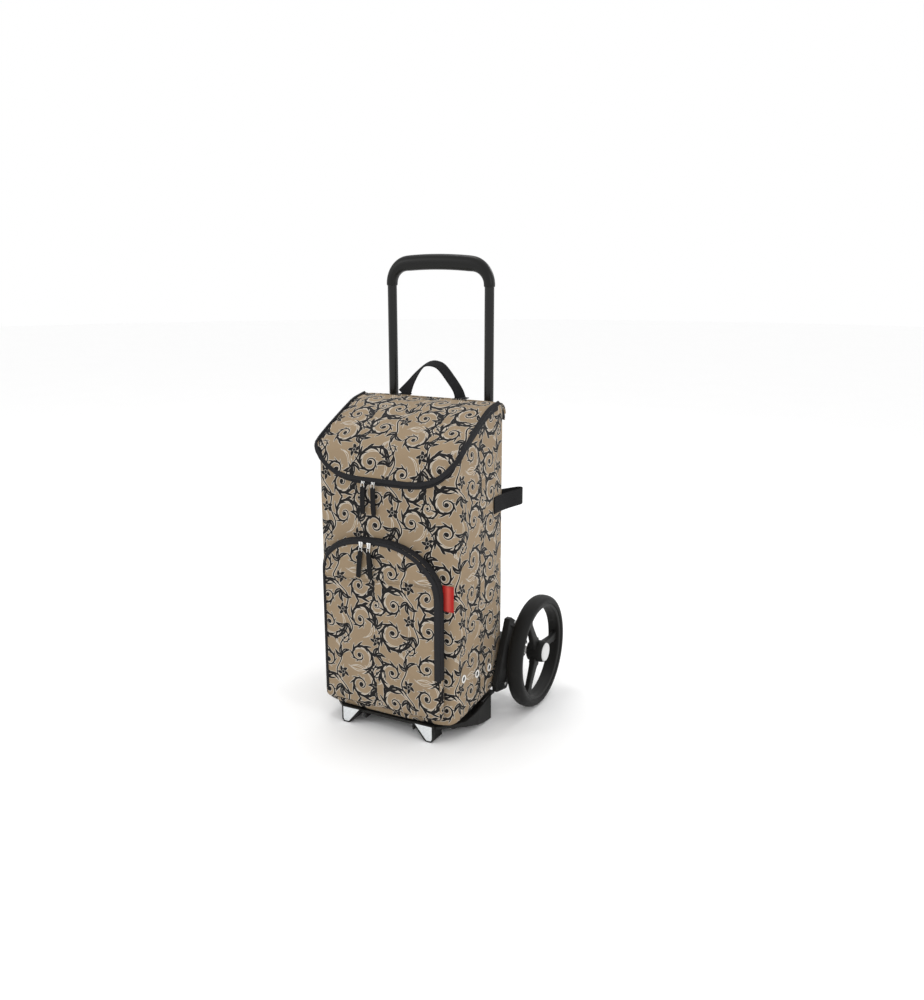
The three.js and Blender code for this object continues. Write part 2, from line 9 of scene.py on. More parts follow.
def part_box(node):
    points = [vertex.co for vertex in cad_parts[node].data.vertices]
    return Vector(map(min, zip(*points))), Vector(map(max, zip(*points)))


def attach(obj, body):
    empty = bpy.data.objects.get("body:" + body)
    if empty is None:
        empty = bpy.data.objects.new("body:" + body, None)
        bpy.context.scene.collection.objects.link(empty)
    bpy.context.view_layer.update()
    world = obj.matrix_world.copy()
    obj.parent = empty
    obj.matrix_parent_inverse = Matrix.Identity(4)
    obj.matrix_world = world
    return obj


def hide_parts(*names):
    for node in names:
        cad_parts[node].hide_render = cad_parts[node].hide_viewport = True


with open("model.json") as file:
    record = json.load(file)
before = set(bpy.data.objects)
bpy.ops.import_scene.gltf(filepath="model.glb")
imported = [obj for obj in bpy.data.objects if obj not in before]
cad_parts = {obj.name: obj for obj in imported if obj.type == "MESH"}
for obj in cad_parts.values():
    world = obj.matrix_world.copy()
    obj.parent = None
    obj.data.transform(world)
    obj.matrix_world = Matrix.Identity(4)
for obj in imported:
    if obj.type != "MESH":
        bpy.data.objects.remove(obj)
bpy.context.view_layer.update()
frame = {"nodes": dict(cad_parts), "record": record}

bl_info = {
    "name": "Shopping Trolley",
    "version": (1, 0, 0),
    "blender": (4, 5, 0),
    "location": "3D View > Sidebar > Trolley",
    "description": "Builds a two-wheeled shopping trolley with a printed bag",
    "category": "Add Mesh",
}

MM = 0.001
SIDES = (("left", -1), ("right", 1))
BODY_OF = {
    node: body
    for body, nodes in frame["record"]["behaviour"]["bodies"].items()
    for node in nodes
}
SLOT_OF = {row["node"]: row["material_slot"] for row in frame["record"]["subparts"]}
X_AXIS, Y_AXIS, Z_AXIS = Vector((1, 0, 0)), Vector((0, 1, 0)), Vector((0, 0, 1))
FORWARDS = -Y_AXIS  # the trolley faces this way


def box_mm(node):
    """Lowest and highest corner of a CAD node, in millimetres."""
    low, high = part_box(node)
    return low / MM, high / MM


def middle_mm(node):
    """Middle of a CAD node's box, in millimetres."""
    low, high = box_mm(node)
    return (low + high) / 2


def linear(red, green, blue):
    """A colour given as screen values of 0 to 255, as the values that a shader takes."""
    return tuple(((channel / 255 + 0.055) / 1.055) ** 2.4 for channel in (red, green, blue))


def clamped(value):
    """The value kept from 0 to 1."""
    return min(max(value, 0), 1)


# ---- sizes and colours ----


def size(name, description, default, least, most, **more):
    """A property with decimals; the class that holds it says what it measures."""
    return bpy.props.FloatProperty(
        name=name, description=description, default=default, min=least, max=most, **more
    )


def count(name, description, default, least, most):
    """A property in whole numbers."""
    return bpy.props.IntProperty(name=name, description=description, default=default, min=least, max=most)


def colour(name, description, *screen):
    """A colour property whose default is given as screen values."""
    return bpy.props.FloatVectorProperty(
        name=name, description=description, default=linear(*screen), min=0, max=1, subtype="COLOR"
    )


class TrolleyBagSizes(bpy.types.PropertyGroup):
    """Sizes of the bag, in millimetres"""

    front_corner: size("Front Corner", "Radius of the bag's front corners", 19, 5, 30)
    rear_corner: size("Rear Corner", "Radius of the bag's rear corners", 20, 5, 30)
    sag: size("Sag", "How far the side panels swell outwards", 3.5, 0, 6)
    wrinkle: size("Wrinkle", "Height of the wrinkles in the fabric", 1.3, 0, 3)
    lid_crown: size("Lid Crown", "How far the lid rises in its middle", 7, 0, 10)
    pocket_crown: size("Pocket Crown", "How far the pocket panel swells", 3.5, 0, 6)


class TrolleyRackSizes(bpy.types.PropertyGroup):
    """Sizes of the rack, the handle and the wheels"""

    tube_sides: count("Tube Sides", "Faces round each tube", 32, 12, 64)
    edge: size("Moulded Edge", "Rounding of the moulded edges, as a share of the full one", 0.7, 0.1, 2)
    wheel_steps: count("Wheel Steps", "Steps round each wheel", 96, 24, 128)


class TrolleyColours(bpy.types.PropertyGroup):
    """Colours of the trolley"""

    fabric: colour("Fabric", "Ground of the printed fabric", 154, 134, 108)
    print_dark: colour("Print", "Dark part of the print", 13, 11, 12)
    print_pale: colour("Outline", "Pale lines round the print", 208, 200, 188)
    tape: colour("Tape", "Zip tapes and bindings", 40, 40, 42)
    webbing: colour("Webbing", "Straps, loops and pull tabs", 30, 30, 31)
    moulded: colour("Moulded Parts", "Black plastic", 26, 26, 25)
    label: colour("Label", "Plain side label", 168, 22, 20)


class TrolleyStage(bpy.types.PropertyGroup):
    """Floor, light and camera"""

    floor: size("Floor Radius", "Radius of the floor", 14, 2, 40, unit="LENGTH")
    sky: size("Ambient", "Strength of the light from all round", 1.0, 0, 3)
    lens: size("Lens", "Focal length of the camera", 36.208, 10, 200, unit="CAMERA")


# ---- materials ----


class Value:
    """A value socket of a material, so that a pattern can be written as a sum."""

    def __init__(self, finish, socket):
        self.finish = finish
        self.socket = socket

    def sum(self, operation, *values):
        return self.finish.node("ShaderNodeMath", values, operation=operation)[0]

    def __add__(self, other):
        return self.sum("ADD", self, other)

    __radd__ = __add__

    def __sub__(self, other):
        return self.sum("SUBTRACT", self, other)

    def __rsub__(self, other):
        return self.sum("SUBTRACT", other, self)

    def __mul__(self, other):
        return self.sum("MULTIPLY", self, other)

    __rmul__ = __mul__

    def __truediv__(self, other):
        return self.sum("DIVIDE", self, other)

    def __pow__(self, other):
        return self.sum("POWER", self, other)

    def __abs__(self):
        return self.sum("ABSOLUTE", self)

    def least(self, other):
        return self.sum("MINIMUM", self, other)

    def most(self, other):
        return self.sum("MAXIMUM", self, other)

    def sine(self):
        return self.sum("SINE", self)

    def wrapped(self, half):
        """The value brought between -half and half by whole turns."""
        return self.sum("WRAP", self, half, -half)

    def rise(self, start, end):
        """0 before start and 1 after end, with a smooth change between; start may be the larger."""
        values = {"Value": self, "From Min": start, "From Max": end}
        return self.finish.node("ShaderNodeMapRange", values, interpolation_type="SMOOTHSTEP")[0]


class Finish:
    """A material under construction."""

    def __init__(self, name):
        self.material = bpy.data.materials.new(name)
        self.material.use_nodes = True
        self.tree = self.material.node_tree
        self.tree.nodes.clear()

    def node(self, kind, inputs=(), **settings):
        """Adds a node: its settings first, then the values or links of its sockets."""
        node = self.tree.nodes.new(kind)
        for name, value in settings.items():
            setattr(node, name, value)
        pairs = inputs.items() if isinstance(inputs, dict) else enumerate(inputs)
        for key, value in pairs:
            if isinstance(value, Value):
                self.tree.links.new(value.socket, node.inputs[key])
            else:
                node.inputs[key].default_value = value
        return [Value(self, socket) for socket in node.outputs]

    def shader(self, **sockets):
        """The surface; an underscore in a name stands for a space."""
        inputs = {name.replace("_", " "): value for name, value in sockets.items()}
        surface_out = self.node("ShaderNodeBsdfPrincipled", inputs)[0]
        self.node("ShaderNodeOutputMaterial", {"Surface": surface_out})
        return self.material

    def place(self):
        """The object's own coordinates, in metres."""
        return self.node("ShaderNodeTexCoord")[3]

    def chart(self):
        """The fabric's own coordinates, in metres: across and along."""
        return self.node("ShaderNodeUVMap", uv_map="weave")[0]

    def split(self, vector):
        return self.node("ShaderNodeSeparateXYZ", (vector,))

    def vector(self, operation, *values):
        return self.node("ShaderNodeVectorMath", values, operation=operation)[0]

    def stripes(self, value, rate):
        """0 to 1 and back again, rate being in radians for each metre."""
        return (value * rate).sine() * 0.5 + 0.5

    def noise(self, vector, scale, detail):
        return self.node("ShaderNodeTexNoise", {"Vector": vector, "Scale": scale, "Detail": detail})

    def mixed(self, factor, first, second):
        """One colour turning to another as the factor goes from 0 to 1."""
        sockets = {0: factor}
        for key, colour in ((6, first), (7, second)):
            sockets[key] = colour if isinstance(colour, Value) else (*colour, 1)
        return self.node("ShaderNodeMix", sockets, data_type="RGBA")[2]

    def bump(self, height, distance, strength):
        return self.node("ShaderNodeBump", {"Height": height, "Distance": distance, "Strength": strength})[0]


def shaded(colour, factor):
    """A colour made lighter or darker."""
    return tuple(min(1, channel * factor) for channel in colour)


def toned(colour, *factors):
    """The same colour in several tones."""
    return [shaded(colour, factor) for factor in factors]


TILE = (0.168, 0.226)  # metres that the print repeats after, across and along
# Motifs in one tile: place across and along as shares of the tile, size in metres, turn in degrees, mirrored
SCROLLS = (
    (0.24, 0.12, 0.046, 20, 1),
    (0.74, 0.20, 0.043, 195, -1),
    (0.24, 0.40, 0.043, 130, -1),
    (0.72, 0.52, 0.046, 300, 1),
    (0.22, 0.70, 0.045, 70, 1),
    (0.72, 0.82, 0.043, 250, -1),
    (0.99, 0.36, 0.026, 10, 1),
    (0.47, 0.97, 0.026, 160, 1),
    (0.98, 0.66, 0.024, 200, -1),
)
FLOWERS = (
    (0.98, 0.02, 0.013, 10),
    (0.47, 0.27, 0.012, 95),
    (0.46, 0.60, 0.013, 140),
)
SPRAYS = (
    (0.49, 0.13, 0.026, 60, 1),
    (0.97, 0.16, 0.026, 150, -1),
    (0.47, 0.45, 0.026, 330, -1),
    (0.46, 0.78, 0.026, 200, 1),
    (0.97, 0.50, 0.026, 20, -1),
    (0.97, 0.84, 0.028, 290, 1),
)
VINES = ((0.48, 0.016, 0.4), (0.98, 0.014, 2.2))  # place across, sway in metres, phase
SPIRAL = 0.22  # how fast a scroll widens, per radian
OUTLINE = 0.0012  # metres


def motif_cell(finish, chart, across, along, size, turn, mirror=1):
    """x and y in one repeated motif, which reaches to about 1."""
    centre = (across * TILE[0], along * TILE[1], 0)
    half = (TILE[0] / 2, TILE[1] / 2, 1)
    back = tuple(-value for value in half)
    local = finish.vector("WRAP", finish.vector("SUBTRACT", chart, centre), half, back)
    inputs = {"Vector": local, "Angle": math.radians(turn)}
    local = finish.node("ShaderNodeVectorRotate", inputs, rotation_type="Z_AXIS")[0]
    x, y, _ = finish.split(finish.vector("MULTIPLY", local, (mirror / size, 1 / size, 0)))
    return x, y


def polar(x, y):
    """Distance from the centre, kept off zero, and angle."""
    return ((x * x + y * y) ** 0.5).most(0.01), x.sum("ARCTAN2", y, x)


def scroll(x, y):
    """Distance to a leafy spiral, and distance to the hairlines beside it."""
    r, angle = polar(x, y)
    slope = math.sqrt(1 + SPIRAL**2)
    turns = r.sum("LOGARITHM", r, math.e) / SPIRAL
    off = (turns - angle).wrapped(math.pi)
    across = off * (SPIRAL / slope)
    along = (turns * (1 + SPIRAL**2) - off) / slope
    stem = abs(across) - 0.16 * (1.05 - r).most(0) ** 0.5 + 2 * (r - 1.0).most(0)
    leaf = along.wrapped(0.36) / 0.72 + 0.5
    outer = abs(across - 0.42 * leaf**1.6) - 0.30 * (1 - leaf) * leaf**0.6
    leaf_in = (along + 0.3).wrapped(0.45) / 0.9 + 0.5
    inner = abs(across + 0.30 * leaf_in**1.4) - 0.22 * (1 - leaf_in) * leaf_in**0.6
    rims = 3 * ((r - 0.94).most(0) + (0.36 - r).most(0))
    shape = stem.least(outer + rims).least(inner + rims) * r
    hair = abs(abs(across + 0.24) - 0.05) * r + 2 * ((r - 0.95).most(0) + (0.35 - r).most(0))
    return shape.least(r - 0.11), hair


def flower(x, y):
    """Distance to a flower of five pointed petals, and distance to its eye."""
    r, angle = polar(x, y)
    petal = abs((angle + 0.5 * r).wrapped(math.pi / 5)) / (math.pi / 5)
    return r - (1.2 - 0.75 * petal**1.1), abs(r - 0.3)


def spray(x, y):
    """Distance to a fan of bent leaves, and distance to the vein of each."""
    r, angle = polar(x, y)
    bent = angle + 1.1 * r
    fold = bent.wrapped(0.5) * r
    beyond = (abs(bent) - 1.5).most(0)
    leaf = abs(fold) - 0.75 * r * (1 - r).most(0) ** 0.9
    vein = abs(fold) + 2 * beyond + (0.3 - r).most(0) + (r - 0.6).most(0)
    return leaf + 1.5 * beyond + 2 * (r - 1).most(0), vein


def scroll_print(finish, chart):
    """Distances in metres to the dark motifs, the hairlines and the pale eyes and veins."""
    wander = finish.noise(chart, 7, 1)[1]
    chart = finish.vector("MULTIPLY_ADD", wander, (0.022, 0.022, 0), chart)
    dark, hair, pale = None, None, None
    for motif in SCROLLS:
        shape, line = scroll(*motif_cell(finish, chart, *motif))
        shape, line = shape * motif[2], line * motif[2]
        dark = dark.least(shape) if dark else shape
        hair = hair.least(line) if hair else line
    across, along, _ = finish.split(chart)
    for middle, sway, phase in VINES:
        bend = (along * (2 * math.pi / TILE[1]) + phase).sine() * sway
        bend = bend + (along * (6 * math.pi / TILE[1])).sine() * 0.007
        vine = abs((across - bend - middle * TILE[0]).wrapped(TILE[0] / 2)) * 0.8 - 0.0013
        dark = dark.least(vine)
    for make, motifs in ((flower, FLOWERS), (spray, SPRAYS)):
        for motif in motifs:
            shape, light = make(*motif_cell(finish, chart, *motif))
            dark = dark.least(shape * motif[2])
            light = light * motif[2]
            pale = pale.least(light) if pale else light
    return dark, hair, pale


def make_printed_fabric(name, colours):
    """Woven fabric printed with outlined scrolls, flowers and sprays."""
    finish = Finish(name)
    chart = finish.chart()
    dark, hair, pale = scroll_print(finish, chart)
    across, along, _ = finish.split(chart)
    weave = (across * 5200).sine() * (along * 5200).sine()
    patches = finish.noise(chart, 14, 3)[0]
    ground = finish.mixed(patches, *toned(colours.fabric, 0.82, 1.06))
    lines = dark.rise(OUTLINE + 0.0004, OUTLINE - 0.0002).most(hair.rise(0.0008, 0.0004))
    colour = finish.mixed(lines * 0.8, ground, tuple(colours.print_pale))
    ink = dark.rise(0.0003, -0.0001)
    colour = finish.mixed(ink, colour, tuple(colours.print_dark))
    colour = finish.mixed(pale.rise(0.0007, 0.0003) * ink * 0.6, colour, tuple(colours.print_pale))
    colour = finish.mixed(0.06 + 0.06 * weave, colour, shaded(colours.print_dark, 1.5))
    height = weave * 0.5 + patches + ink * 0.6
    return finish.shader(
        Base_Color=colour,
        Roughness=0.78 - 0.12 * ink,
        Normal=finish.bump(height, 0.0002, 0.6),
        Sheen_Weight=0.03,
        Specular_IOR_Level=0.2,
    )


def make_lining(name, colours):
    """Plain dark lining cloth."""
    finish = Finish(name)
    across, along, _ = finish.split(finish.chart())
    weave = (across * 4000).sine() * (along * 4000).sine()
    colour = finish.mixed(0.5 + 0.5 * weave, *toned(colours.tape, 0.5, 0.8))
    return finish.shader(Base_Color=colour, Roughness=0.7, Normal=finish.bump(weave, 0.0002, 0.5))


def make_tape(name, colours):
    """Ribbed tape, with its ribs across its length."""
    finish = Finish(name)
    chart = finish.chart()
    across, along, _ = finish.split(chart)
    ribs = finish.stripes(along, 4200)
    fuzz = finish.noise(chart, 160, 3)[0]
    colour = finish.mixed(ribs * 0.5 + fuzz * 0.5, *toned(colours.tape, 0.72, 1.3))
    height = ribs + fuzz + (across * 5000).sine() * 0.3
    return finish.shader(
        Base_Color=colour,
        Roughness=0.72 + 0.12 * fuzz,
        Normal=finish.bump(height, 0.00035, 0.7),
        Specular_IOR_Level=0.12,
    )


def make_webbing(name, colours):
    """Webbing with a chevron weave and denser edges."""
    finish = Finish(name)
    chart = finish.chart()
    across, along, _ = finish.split(chart)
    chevron = finish.stripes(abs(across.wrapped(0.004)) + along, 3000)
    fuzz = finish.noise(chart, 220, 3)[0]
    colour = finish.mixed(chevron * 0.6 + fuzz * 0.4, *toned(colours.webbing, 0.6, 1.35))
    return finish.shader(
        Base_Color=colour,
        Roughness=0.62 + 0.2 * fuzz,
        Normal=finish.bump(chevron + fuzz * 0.5, 0.0004, 0.7),
        Specular_IOR_Level=0.1,
    )


def make_zip_teeth(name, colours):
    """A coil zip: its teeth cross the chain."""
    finish = Finish(name)
    _, along, _ = finish.split(finish.chart())
    teeth = finish.stripes(along, 3800)
    colour = finish.mixed(teeth, *toned(colours.tape, 0.3, 1.1))
    return finish.shader(
        Base_Color=colour, Roughness=0.5 - 0.15 * teeth, Normal=finish.bump(teeth, 0.0008, 0.9)
    )


def make_moulded(name, colours, tone=1.0, roughness=0.48, grain=0.35):
    """Moulded plastic with a fine spark-eroded grain and rubbed patches."""
    finish = Finish(name)
    place = finish.place()
    fine = finish.noise(place, 1500, 2)[0]
    broad = finish.noise(place, 18, 3)[0]
    colour = finish.mixed(broad, *toned(colours.moulded, 0.8 * tone, 1.25 * tone))
    return finish.shader(
        Base_Color=colour,
        Roughness=roughness + 0.14 * broad,
        Normal=finish.bump(fine, 0.0002, grain),
        Specular_IOR_Level=0.22,
    )


def make_paint(name, colours):
    """Gloss black paint with a slight orange-peel surface."""
    finish = Finish(name)
    place = finish.place()
    peel = finish.noise(place, 260, 2)[0]
    broad = finish.noise(place, 9, 2)[0]
    colour = finish.mixed(broad, *toned(colours.moulded, 0.45, 0.75))
    return finish.shader(
        Base_Color=colour,
        Roughness=0.2 + 0.1 * broad,
        Normal=finish.bump(peel, 0.0002, 0.15),
        Specular_IOR_Level=0.35,
    )


def make_tyre(name, colours):
    """Matt tyre with fine speckle and a little dust."""
    finish = Finish(name)
    place = finish.place()
    speckle = finish.noise(place, 900, 3)[0]
    dust = finish.noise(place, 30, 4)[0]
    colour = finish.mixed(dust.rise(0.5, 0.8) * 0.5, *toned(colours.moulded, 0.62, 1.5))
    return finish.shader(
        Base_Color=colour,
        Roughness=0.5 + 0.16 * dust,
        Normal=finish.bump(speckle, 0.0003, 0.5),
        Specular_IOR_Level=0.18,
    )


def make_steel(name, colours, tone=0.62, roughness=0.24, metallic=1.0):
    """Plated metal with fine scratches along it."""
    finish = Finish(name)
    place = finish.place()
    scratches = finish.noise(finish.vector("MULTIPLY", place, (60, 900, 900)), 1, 3)[0]
    colour = finish.mixed(scratches, (tone * 0.85,) * 3, (tone * 1.1, tone * 1.1, tone * 1.08))
    return finish.shader(
        Base_Color=colour,
        Metallic=metallic,
        Roughness=roughness + 0.16 * scratches,
        Normal=finish.bump(scratches, 0.0001, 0.2),
    )


def make_reflector(name, colours):
    """Clear white lens over a fine square grid."""
    finish = Finish(name)
    place = finish.place()
    x, _, z = finish.split(place)
    across, down = (abs(value.wrapped(0.0016)).rise(0.0012, 0.0015) for value in (x, z))
    grid = across.most(down)
    glint = finish.noise(place, 400, 1)[0]
    colour = finish.mixed(grid, linear(240, 243, 244), linear(176, 180, 182))
    colour = finish.mixed(glint.rise(0.45, 0.75) * 0.35, colour, linear(205, 210, 212))
    return finish.shader(
        Base_Color=colour,
        Roughness=0.16 + 0.2 * grid,
        Normal=finish.bump(grid, 0.0005, 0.6),
        Coat_Weight=0.6,
    )


def make_label(name, colours):
    """Plain woven label with a painted highlight: a lighter satin sheen band painted down its middle."""
    finish = Finish(name)
    chart = finish.chart()
    across, along, _ = finish.split(chart)
    satin = finish.stripes(along, 5000)
    # Painted highlight: a lighter band down the label's middle, mixed into its colour, stands in for where
    # light reflects off the satin.
    sheen = 1 - (abs(across - 0.014) / 0.009).least(1)
    colour = finish.mixed(sheen * 0.32 + satin * 0.08, tuple(colours.label), linear(245, 130, 115))
    return finish.shader(
        Base_Color=colour,
        Roughness=0.42 + 0.1 * satin,
        Normal=finish.bump(satin, 0.0003, 0.6),
        Specular_IOR_Level=0.15,
    )


def make_eyelet(name, colours):
    """Off-white enamel."""
    finish = Finish(name)
    shade = finish.noise(finish.place(), 90, 2)[0]
    colour = finish.mixed(shade, linear(214, 212, 206), linear(240, 239, 236))
    return finish.shader(Base_Color=colour, Roughness=0.3 + 0.15 * shade, Coat_Weight=0.3)


def make_thread(name, colours):
    """Twisted sewing thread."""
    finish = Finish(name)
    twist = finish.stripes(finish.split(finish.place())[2], 9000)
    colour = finish.mixed(twist, *toned(colours.tape, 0.6, 1.2))
    return finish.shader(Base_Color=colour, Roughness=0.8, Normal=finish.bump(twist, 0.0001, 0.5))


def make_board(name, colours):
    """Dark fibre board."""
    finish = Finish(name)
    fibres = finish.noise(finish.vector("MULTIPLY", finish.place(), (300, 40, 300)), 1, 4)[0]
    colour = finish.mixed(fibres, *toned(colours.moulded, 0.7, 1.5))
    return finish.shader(Base_Color=colour, Roughness=0.85, Normal=finish.bump(fibres, 0.0004, 0.5))


MAKERS = {
    "printed_fabric": (make_printed_fabric,),
    "lining": (make_lining,),
    "charcoal_tape": (make_tape,),
    "black_webbing": (make_webbing,),
    "zip_teeth": (make_zip_teeth,),
    "moulded_black": (make_moulded,),
    "grip": (make_moulded, 0.75, 0.3, 0.12),
    "handle_paint": (make_paint,),
    "tyre": (make_tyre,),
    "steel": (make_steel,),
    "zip_metal": (make_steel, 0.8, 0.16),
    "cap_silver": (make_steel, 0.66, 0.3, 0.35),
    "reflector": (make_reflector,),
    "red_label": (make_label,),
    "eyelet_white": (make_eyelet,),
    "thread": (make_thread,),
    "board": (make_board,),
}


def material(name):
    """The named finish, made the first time that it is asked for."""
    made = bpy.data.materials.get("trolley_" + name)
    if made:
        return made
    make, *settings = MAKERS[name]
    return make("trolley_" + name, bpy.context.scene.trolley_colours, *settings)


def dressed(node, finish):
    """Gives a CAD node another finish and leaves its shape as it is."""
    mesh = frame["nodes"][node].data
    mesh.materials.clear()
    mesh.materials.append(material(finish))


# ---- shapes, worked out in millimetres ----


def surface(columns, rows, place, chart=None):
    """A grid bent to place(u, v), with u across and v along, from 0 to 1. It faces along u x v."""
    bm = bmesh.new()
    weave = bm.loops.layers.uv.new("weave")
    bmesh.ops.create_grid(bm, x_segments=columns, y_segments=rows, size=0.5)
    for face in bm.faces:
        for loop in face.loops:
            u, v = loop.vert.co.x + 0.5, loop.vert.co.y + 0.5
            loop[weave].uv = Vector(chart(u, v)) * MM if chart else (u, v)
    for vert in bm.verts:
        vert.co = Vector(place(vert.co.x + 0.5, vert.co.y + 0.5)) * MM
    return bm


def closed_up(bm):
    """Merges the seam and points the faces outwards."""
    bmesh.ops.remove_doubles(bm, verts=bm.verts, dist=2e-6)
    bmesh.ops.dissolve_degenerate(bm, edges=bm.edges, dist=1e-6)
    bmesh.ops.holes_fill(bm, edges=[edge for edge in bm.edges if edge.is_boundary])
    bmesh.ops.recalc_face_normals(bm, faces=bm.faces)
    return bm


def distances(points):
    """Distance of each point along the line."""
    reached = [0.0]
    for before, after in zip(points, points[1:]):
        reached.append(reached[-1] + (Vector(after) - Vector(before)).length)
    return reached


def spaced(points, count):
    """Points at equal distances along a line."""
    reached = distances(points)
    made, k = [], 0
    for i in range(count + 1):
        goal = reached[-1] * i / count
        while k < len(points) - 2 and reached[k + 1] < goal:
            k += 1
        share = (goal - reached[k]) / max(reached[k + 1] - reached[k], 1e-9)
        made.append(points[k].lerp(points[k + 1], min(share, 1)))
    return made


def smooth_line(points, steps):
    """A smooth line through the points, in even steps."""
    knots = [Vector(point) for point in points]
    knots = [2 * knots[0] - knots[1], *knots, 2 * knots[-1] - knots[-2]]
    fine = []
    for k in range(1, len(knots) - 2):
        a, b, c, d = knots[k - 1 : k + 3]
        for i in range(12):
            t = i / 12
            square, cube = 2 * a - 5 * b + 4 * c - d, 3 * b - a - 3 * c + d
            fine.append(0.5 * (2 * b + (c - a) * t + square * t**2 + cube * t**3))
    fine.append(knots[-2])
    return spaced(fine, steps)


def ring(width, height, squareness=1.0, centre=(0, 0), sides=12):
    """A rounded section; a squareness below 1 fills its corners."""
    points = []
    for i in range(sides):
        angle = 2 * math.pi * i / sides
        c, s = math.cos(angle), math.sin(angle)
        points.append(
            (
                centre[0] + width / 2 * math.copysign(abs(c) ** squareness, c),
                centre[1] + height / 2 * math.copysign(abs(s) ** squareness, s),
            )
        )
    return points


def frames(points, outward):
    """(point, across, out) along a line; outward is its rough outer side, or a function that gives it."""
    made = []
    for i, point in enumerate(points):
        tangent = (points[min(i + 1, len(points) - 1)] - points[max(i - 1, 0)]).normalized()
        out = Vector(outward(point, tangent) if callable(outward) else outward)
        out = (out - tangent * out.dot(tangent)).normalized()
        made.append((point, out.cross(tangent), out))
    return made


def swept(section, path, size=None):
    """A closed section carried along the frames, with its ends closed; size(v) scales it both ways."""
    sides, steps = len(section), len(path) - 1
    around = distances([Vector((*point, 0)) for point in (*section, section[0])])
    along = distances([point for point, _, _ in path])

    def place(u, v):
        a, b = section[round(u * sides) % sides]
        point, across, out = path[round(v * steps)]
        scale = size(v) if size else (1, 1)
        return point + across * a * scale[0] + out * b * scale[1]

    def chart(u, v):
        return around[round(u * sides)], along[round(v * steps)]

    return closed_up(surface(sides, steps, place, chart))


def bunched(u):
    """-1 to 1 as u goes from 0 to 1, closer together towards the ends."""
    return math.sin((u - 0.5) * math.pi)


def merged(first, *others):
    """Several meshes in one."""
    for other in others:
        carried = bpy.data.meshes.new("carried")
        other.to_mesh(carried)
        other.free()
        first.from_mesh(carried)
        bpy.data.meshes.remove(carried)
    return first


def add_piece(name, bm, body, slot, replaced=(), finishes=()):
    """Makes the mesh a smooth piece that rides on a body; its finish has the slot's name unless given."""
    for face in bm.faces:
        face.smooth = True
    mesh = bpy.data.meshes.new(name)
    bm.to_mesh(mesh)
    bm.free()
    piece = bpy.data.objects.new(name, mesh)
    bpy.context.scene.collection.objects.link(piece)
    for finish in finishes or [slot]:
        mesh.materials.append(material(finish))
    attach(piece, body)
    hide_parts(*replaced)
    return piece


def sharpened(piece, degrees):
    """Keeps the edges of a smooth piece crisp past an angle."""
    mesh = piece.data
    mesh.set_sharp_from_angle(angle=math.radians(degrees))
    return piece


LINED = ["printed_fabric", "lining"]


def add_wall(piece, thickness, inside=0):
    """Gives an open sheet its thickness, inwards; inside is the finish of its inner face."""
    wall = piece.modifiers.new("wall", "SOLIDIFY")
    wall.thickness = thickness * MM
    wall.offset = -1
    wall.material_offset = inside
    return piece


def refined(node, edge):
    """A CAD node again, with rounded edges and smooth faces."""
    bm = bmesh.new()
    bm.from_mesh(frame["nodes"][node].data)
    bmesh.ops.remove_doubles(bm, verts=bm.verts, dist=5e-6)
    bmesh.ops.dissolve_limit(bm, angle_limit=math.radians(1), verts=bm.verts, edges=bm.edges)
    bmesh.ops.recalc_face_normals(bm, faces=bm.faces)
    piece = add_piece(f"{node}_moulding", bm, BODY_OF[node], SLOT_OF[node], [node])
    if not edge:
        return sharpened(piece, 30)
    rounding = piece.modifiers.new("rounding", "BEVEL")
    rounding.width = edge * MM
    rounding.segments = 2
    rounding.limit_method = "ANGLE"
    rounding.angle_limit = math.radians(35)
    rounding.harden_normals = True
    return piece


def turned(profile, centre, steps, side=1):
    """A closed (offset, radius) profile turned about an axis along X."""
    bm = bmesh.new()
    x, y, z = centre
    verts = [bm.verts.new(Vector((x + side * offset, y, z + radius)) * MM) for offset, radius in profile]
    edges = [bm.edges.new((a, b)) for a, b in zip(verts, verts[1:] + verts[:1])]
    bmesh.ops.spin(
        bm, geom=verts + edges, cent=Vector(centre) * MM, axis=X_AXIS, angle=2 * math.pi,
        steps=steps, use_merge=True,
    )
    bmesh.ops.recalc_face_normals(bm, faces=bm.faces)
    return bm


def arc(cx, cy, rx, ry, start, end, steps):
    """Points on a part of an ellipse, angles in degrees."""
    angles = [math.radians(start + (end - start) * i / steps) for i in range(steps + 1)]
    return [(cx + rx * math.cos(a), cy + ry * math.sin(a)) for a in angles]


def stitches(name, body, lines, pitch=3.4, slot="charcoal_tape"):
    """Short raised stitches along lines of (point, across, out) frames."""
    bm = bmesh.new()
    for line in lines:
        reached = distances([point for point, _, _ in line])
        k, goal = 0, pitch / 2
        while goal < reached[-1]:
            while reached[k + 1] < goal:
                k += 1
            share = (goal - reached[k]) / (reached[k + 1] - reached[k])
            point = line[k][0].lerp(line[k + 1][0], share)
            along = (line[k + 1][0] - line[k][0]).normalized()
            out = line[k][2]
            turn = Matrix((along, out.cross(along), out)).transposed().to_4x4()
            place = Matrix.Translation((point + out * 0.25) * MM) @ turn
            size = Matrix.Diagonal((1.15 * MM, 0.32 * MM, 0.3 * MM, 1))
            bmesh.ops.create_icosphere(bm, subdivisions=1, radius=1, matrix=place @ size)
            goal += pitch
    return add_piece(name, bm, body, slot, finishes=["thread"])


def rows_beside(path, shifts, lift):
    """Lines beside the middle of a path, lifted off its surface."""
    return [[(point + across * shift + out * lift, across, out) for point, across, out in path]
            for shift in shifts]


# ---- the bag's form, in millimetres ----

BAG_LOW, BAG_HIGH = box_mm("bag_shell")
HALF = BAG_HIGH.x
FRONT, REAR = BAG_LOW.y, BAG_HIGH.y
BOTTOM = BAG_LOW.z
SHOULDER = 694  # height where the rear panel starts to round forwards
ROOF = BAG_HIGH.z
ZIP_CORNER = 632  # height of the main zip where it turns round a front corner
LIP = 569  # height of the main zip at the middle of the front


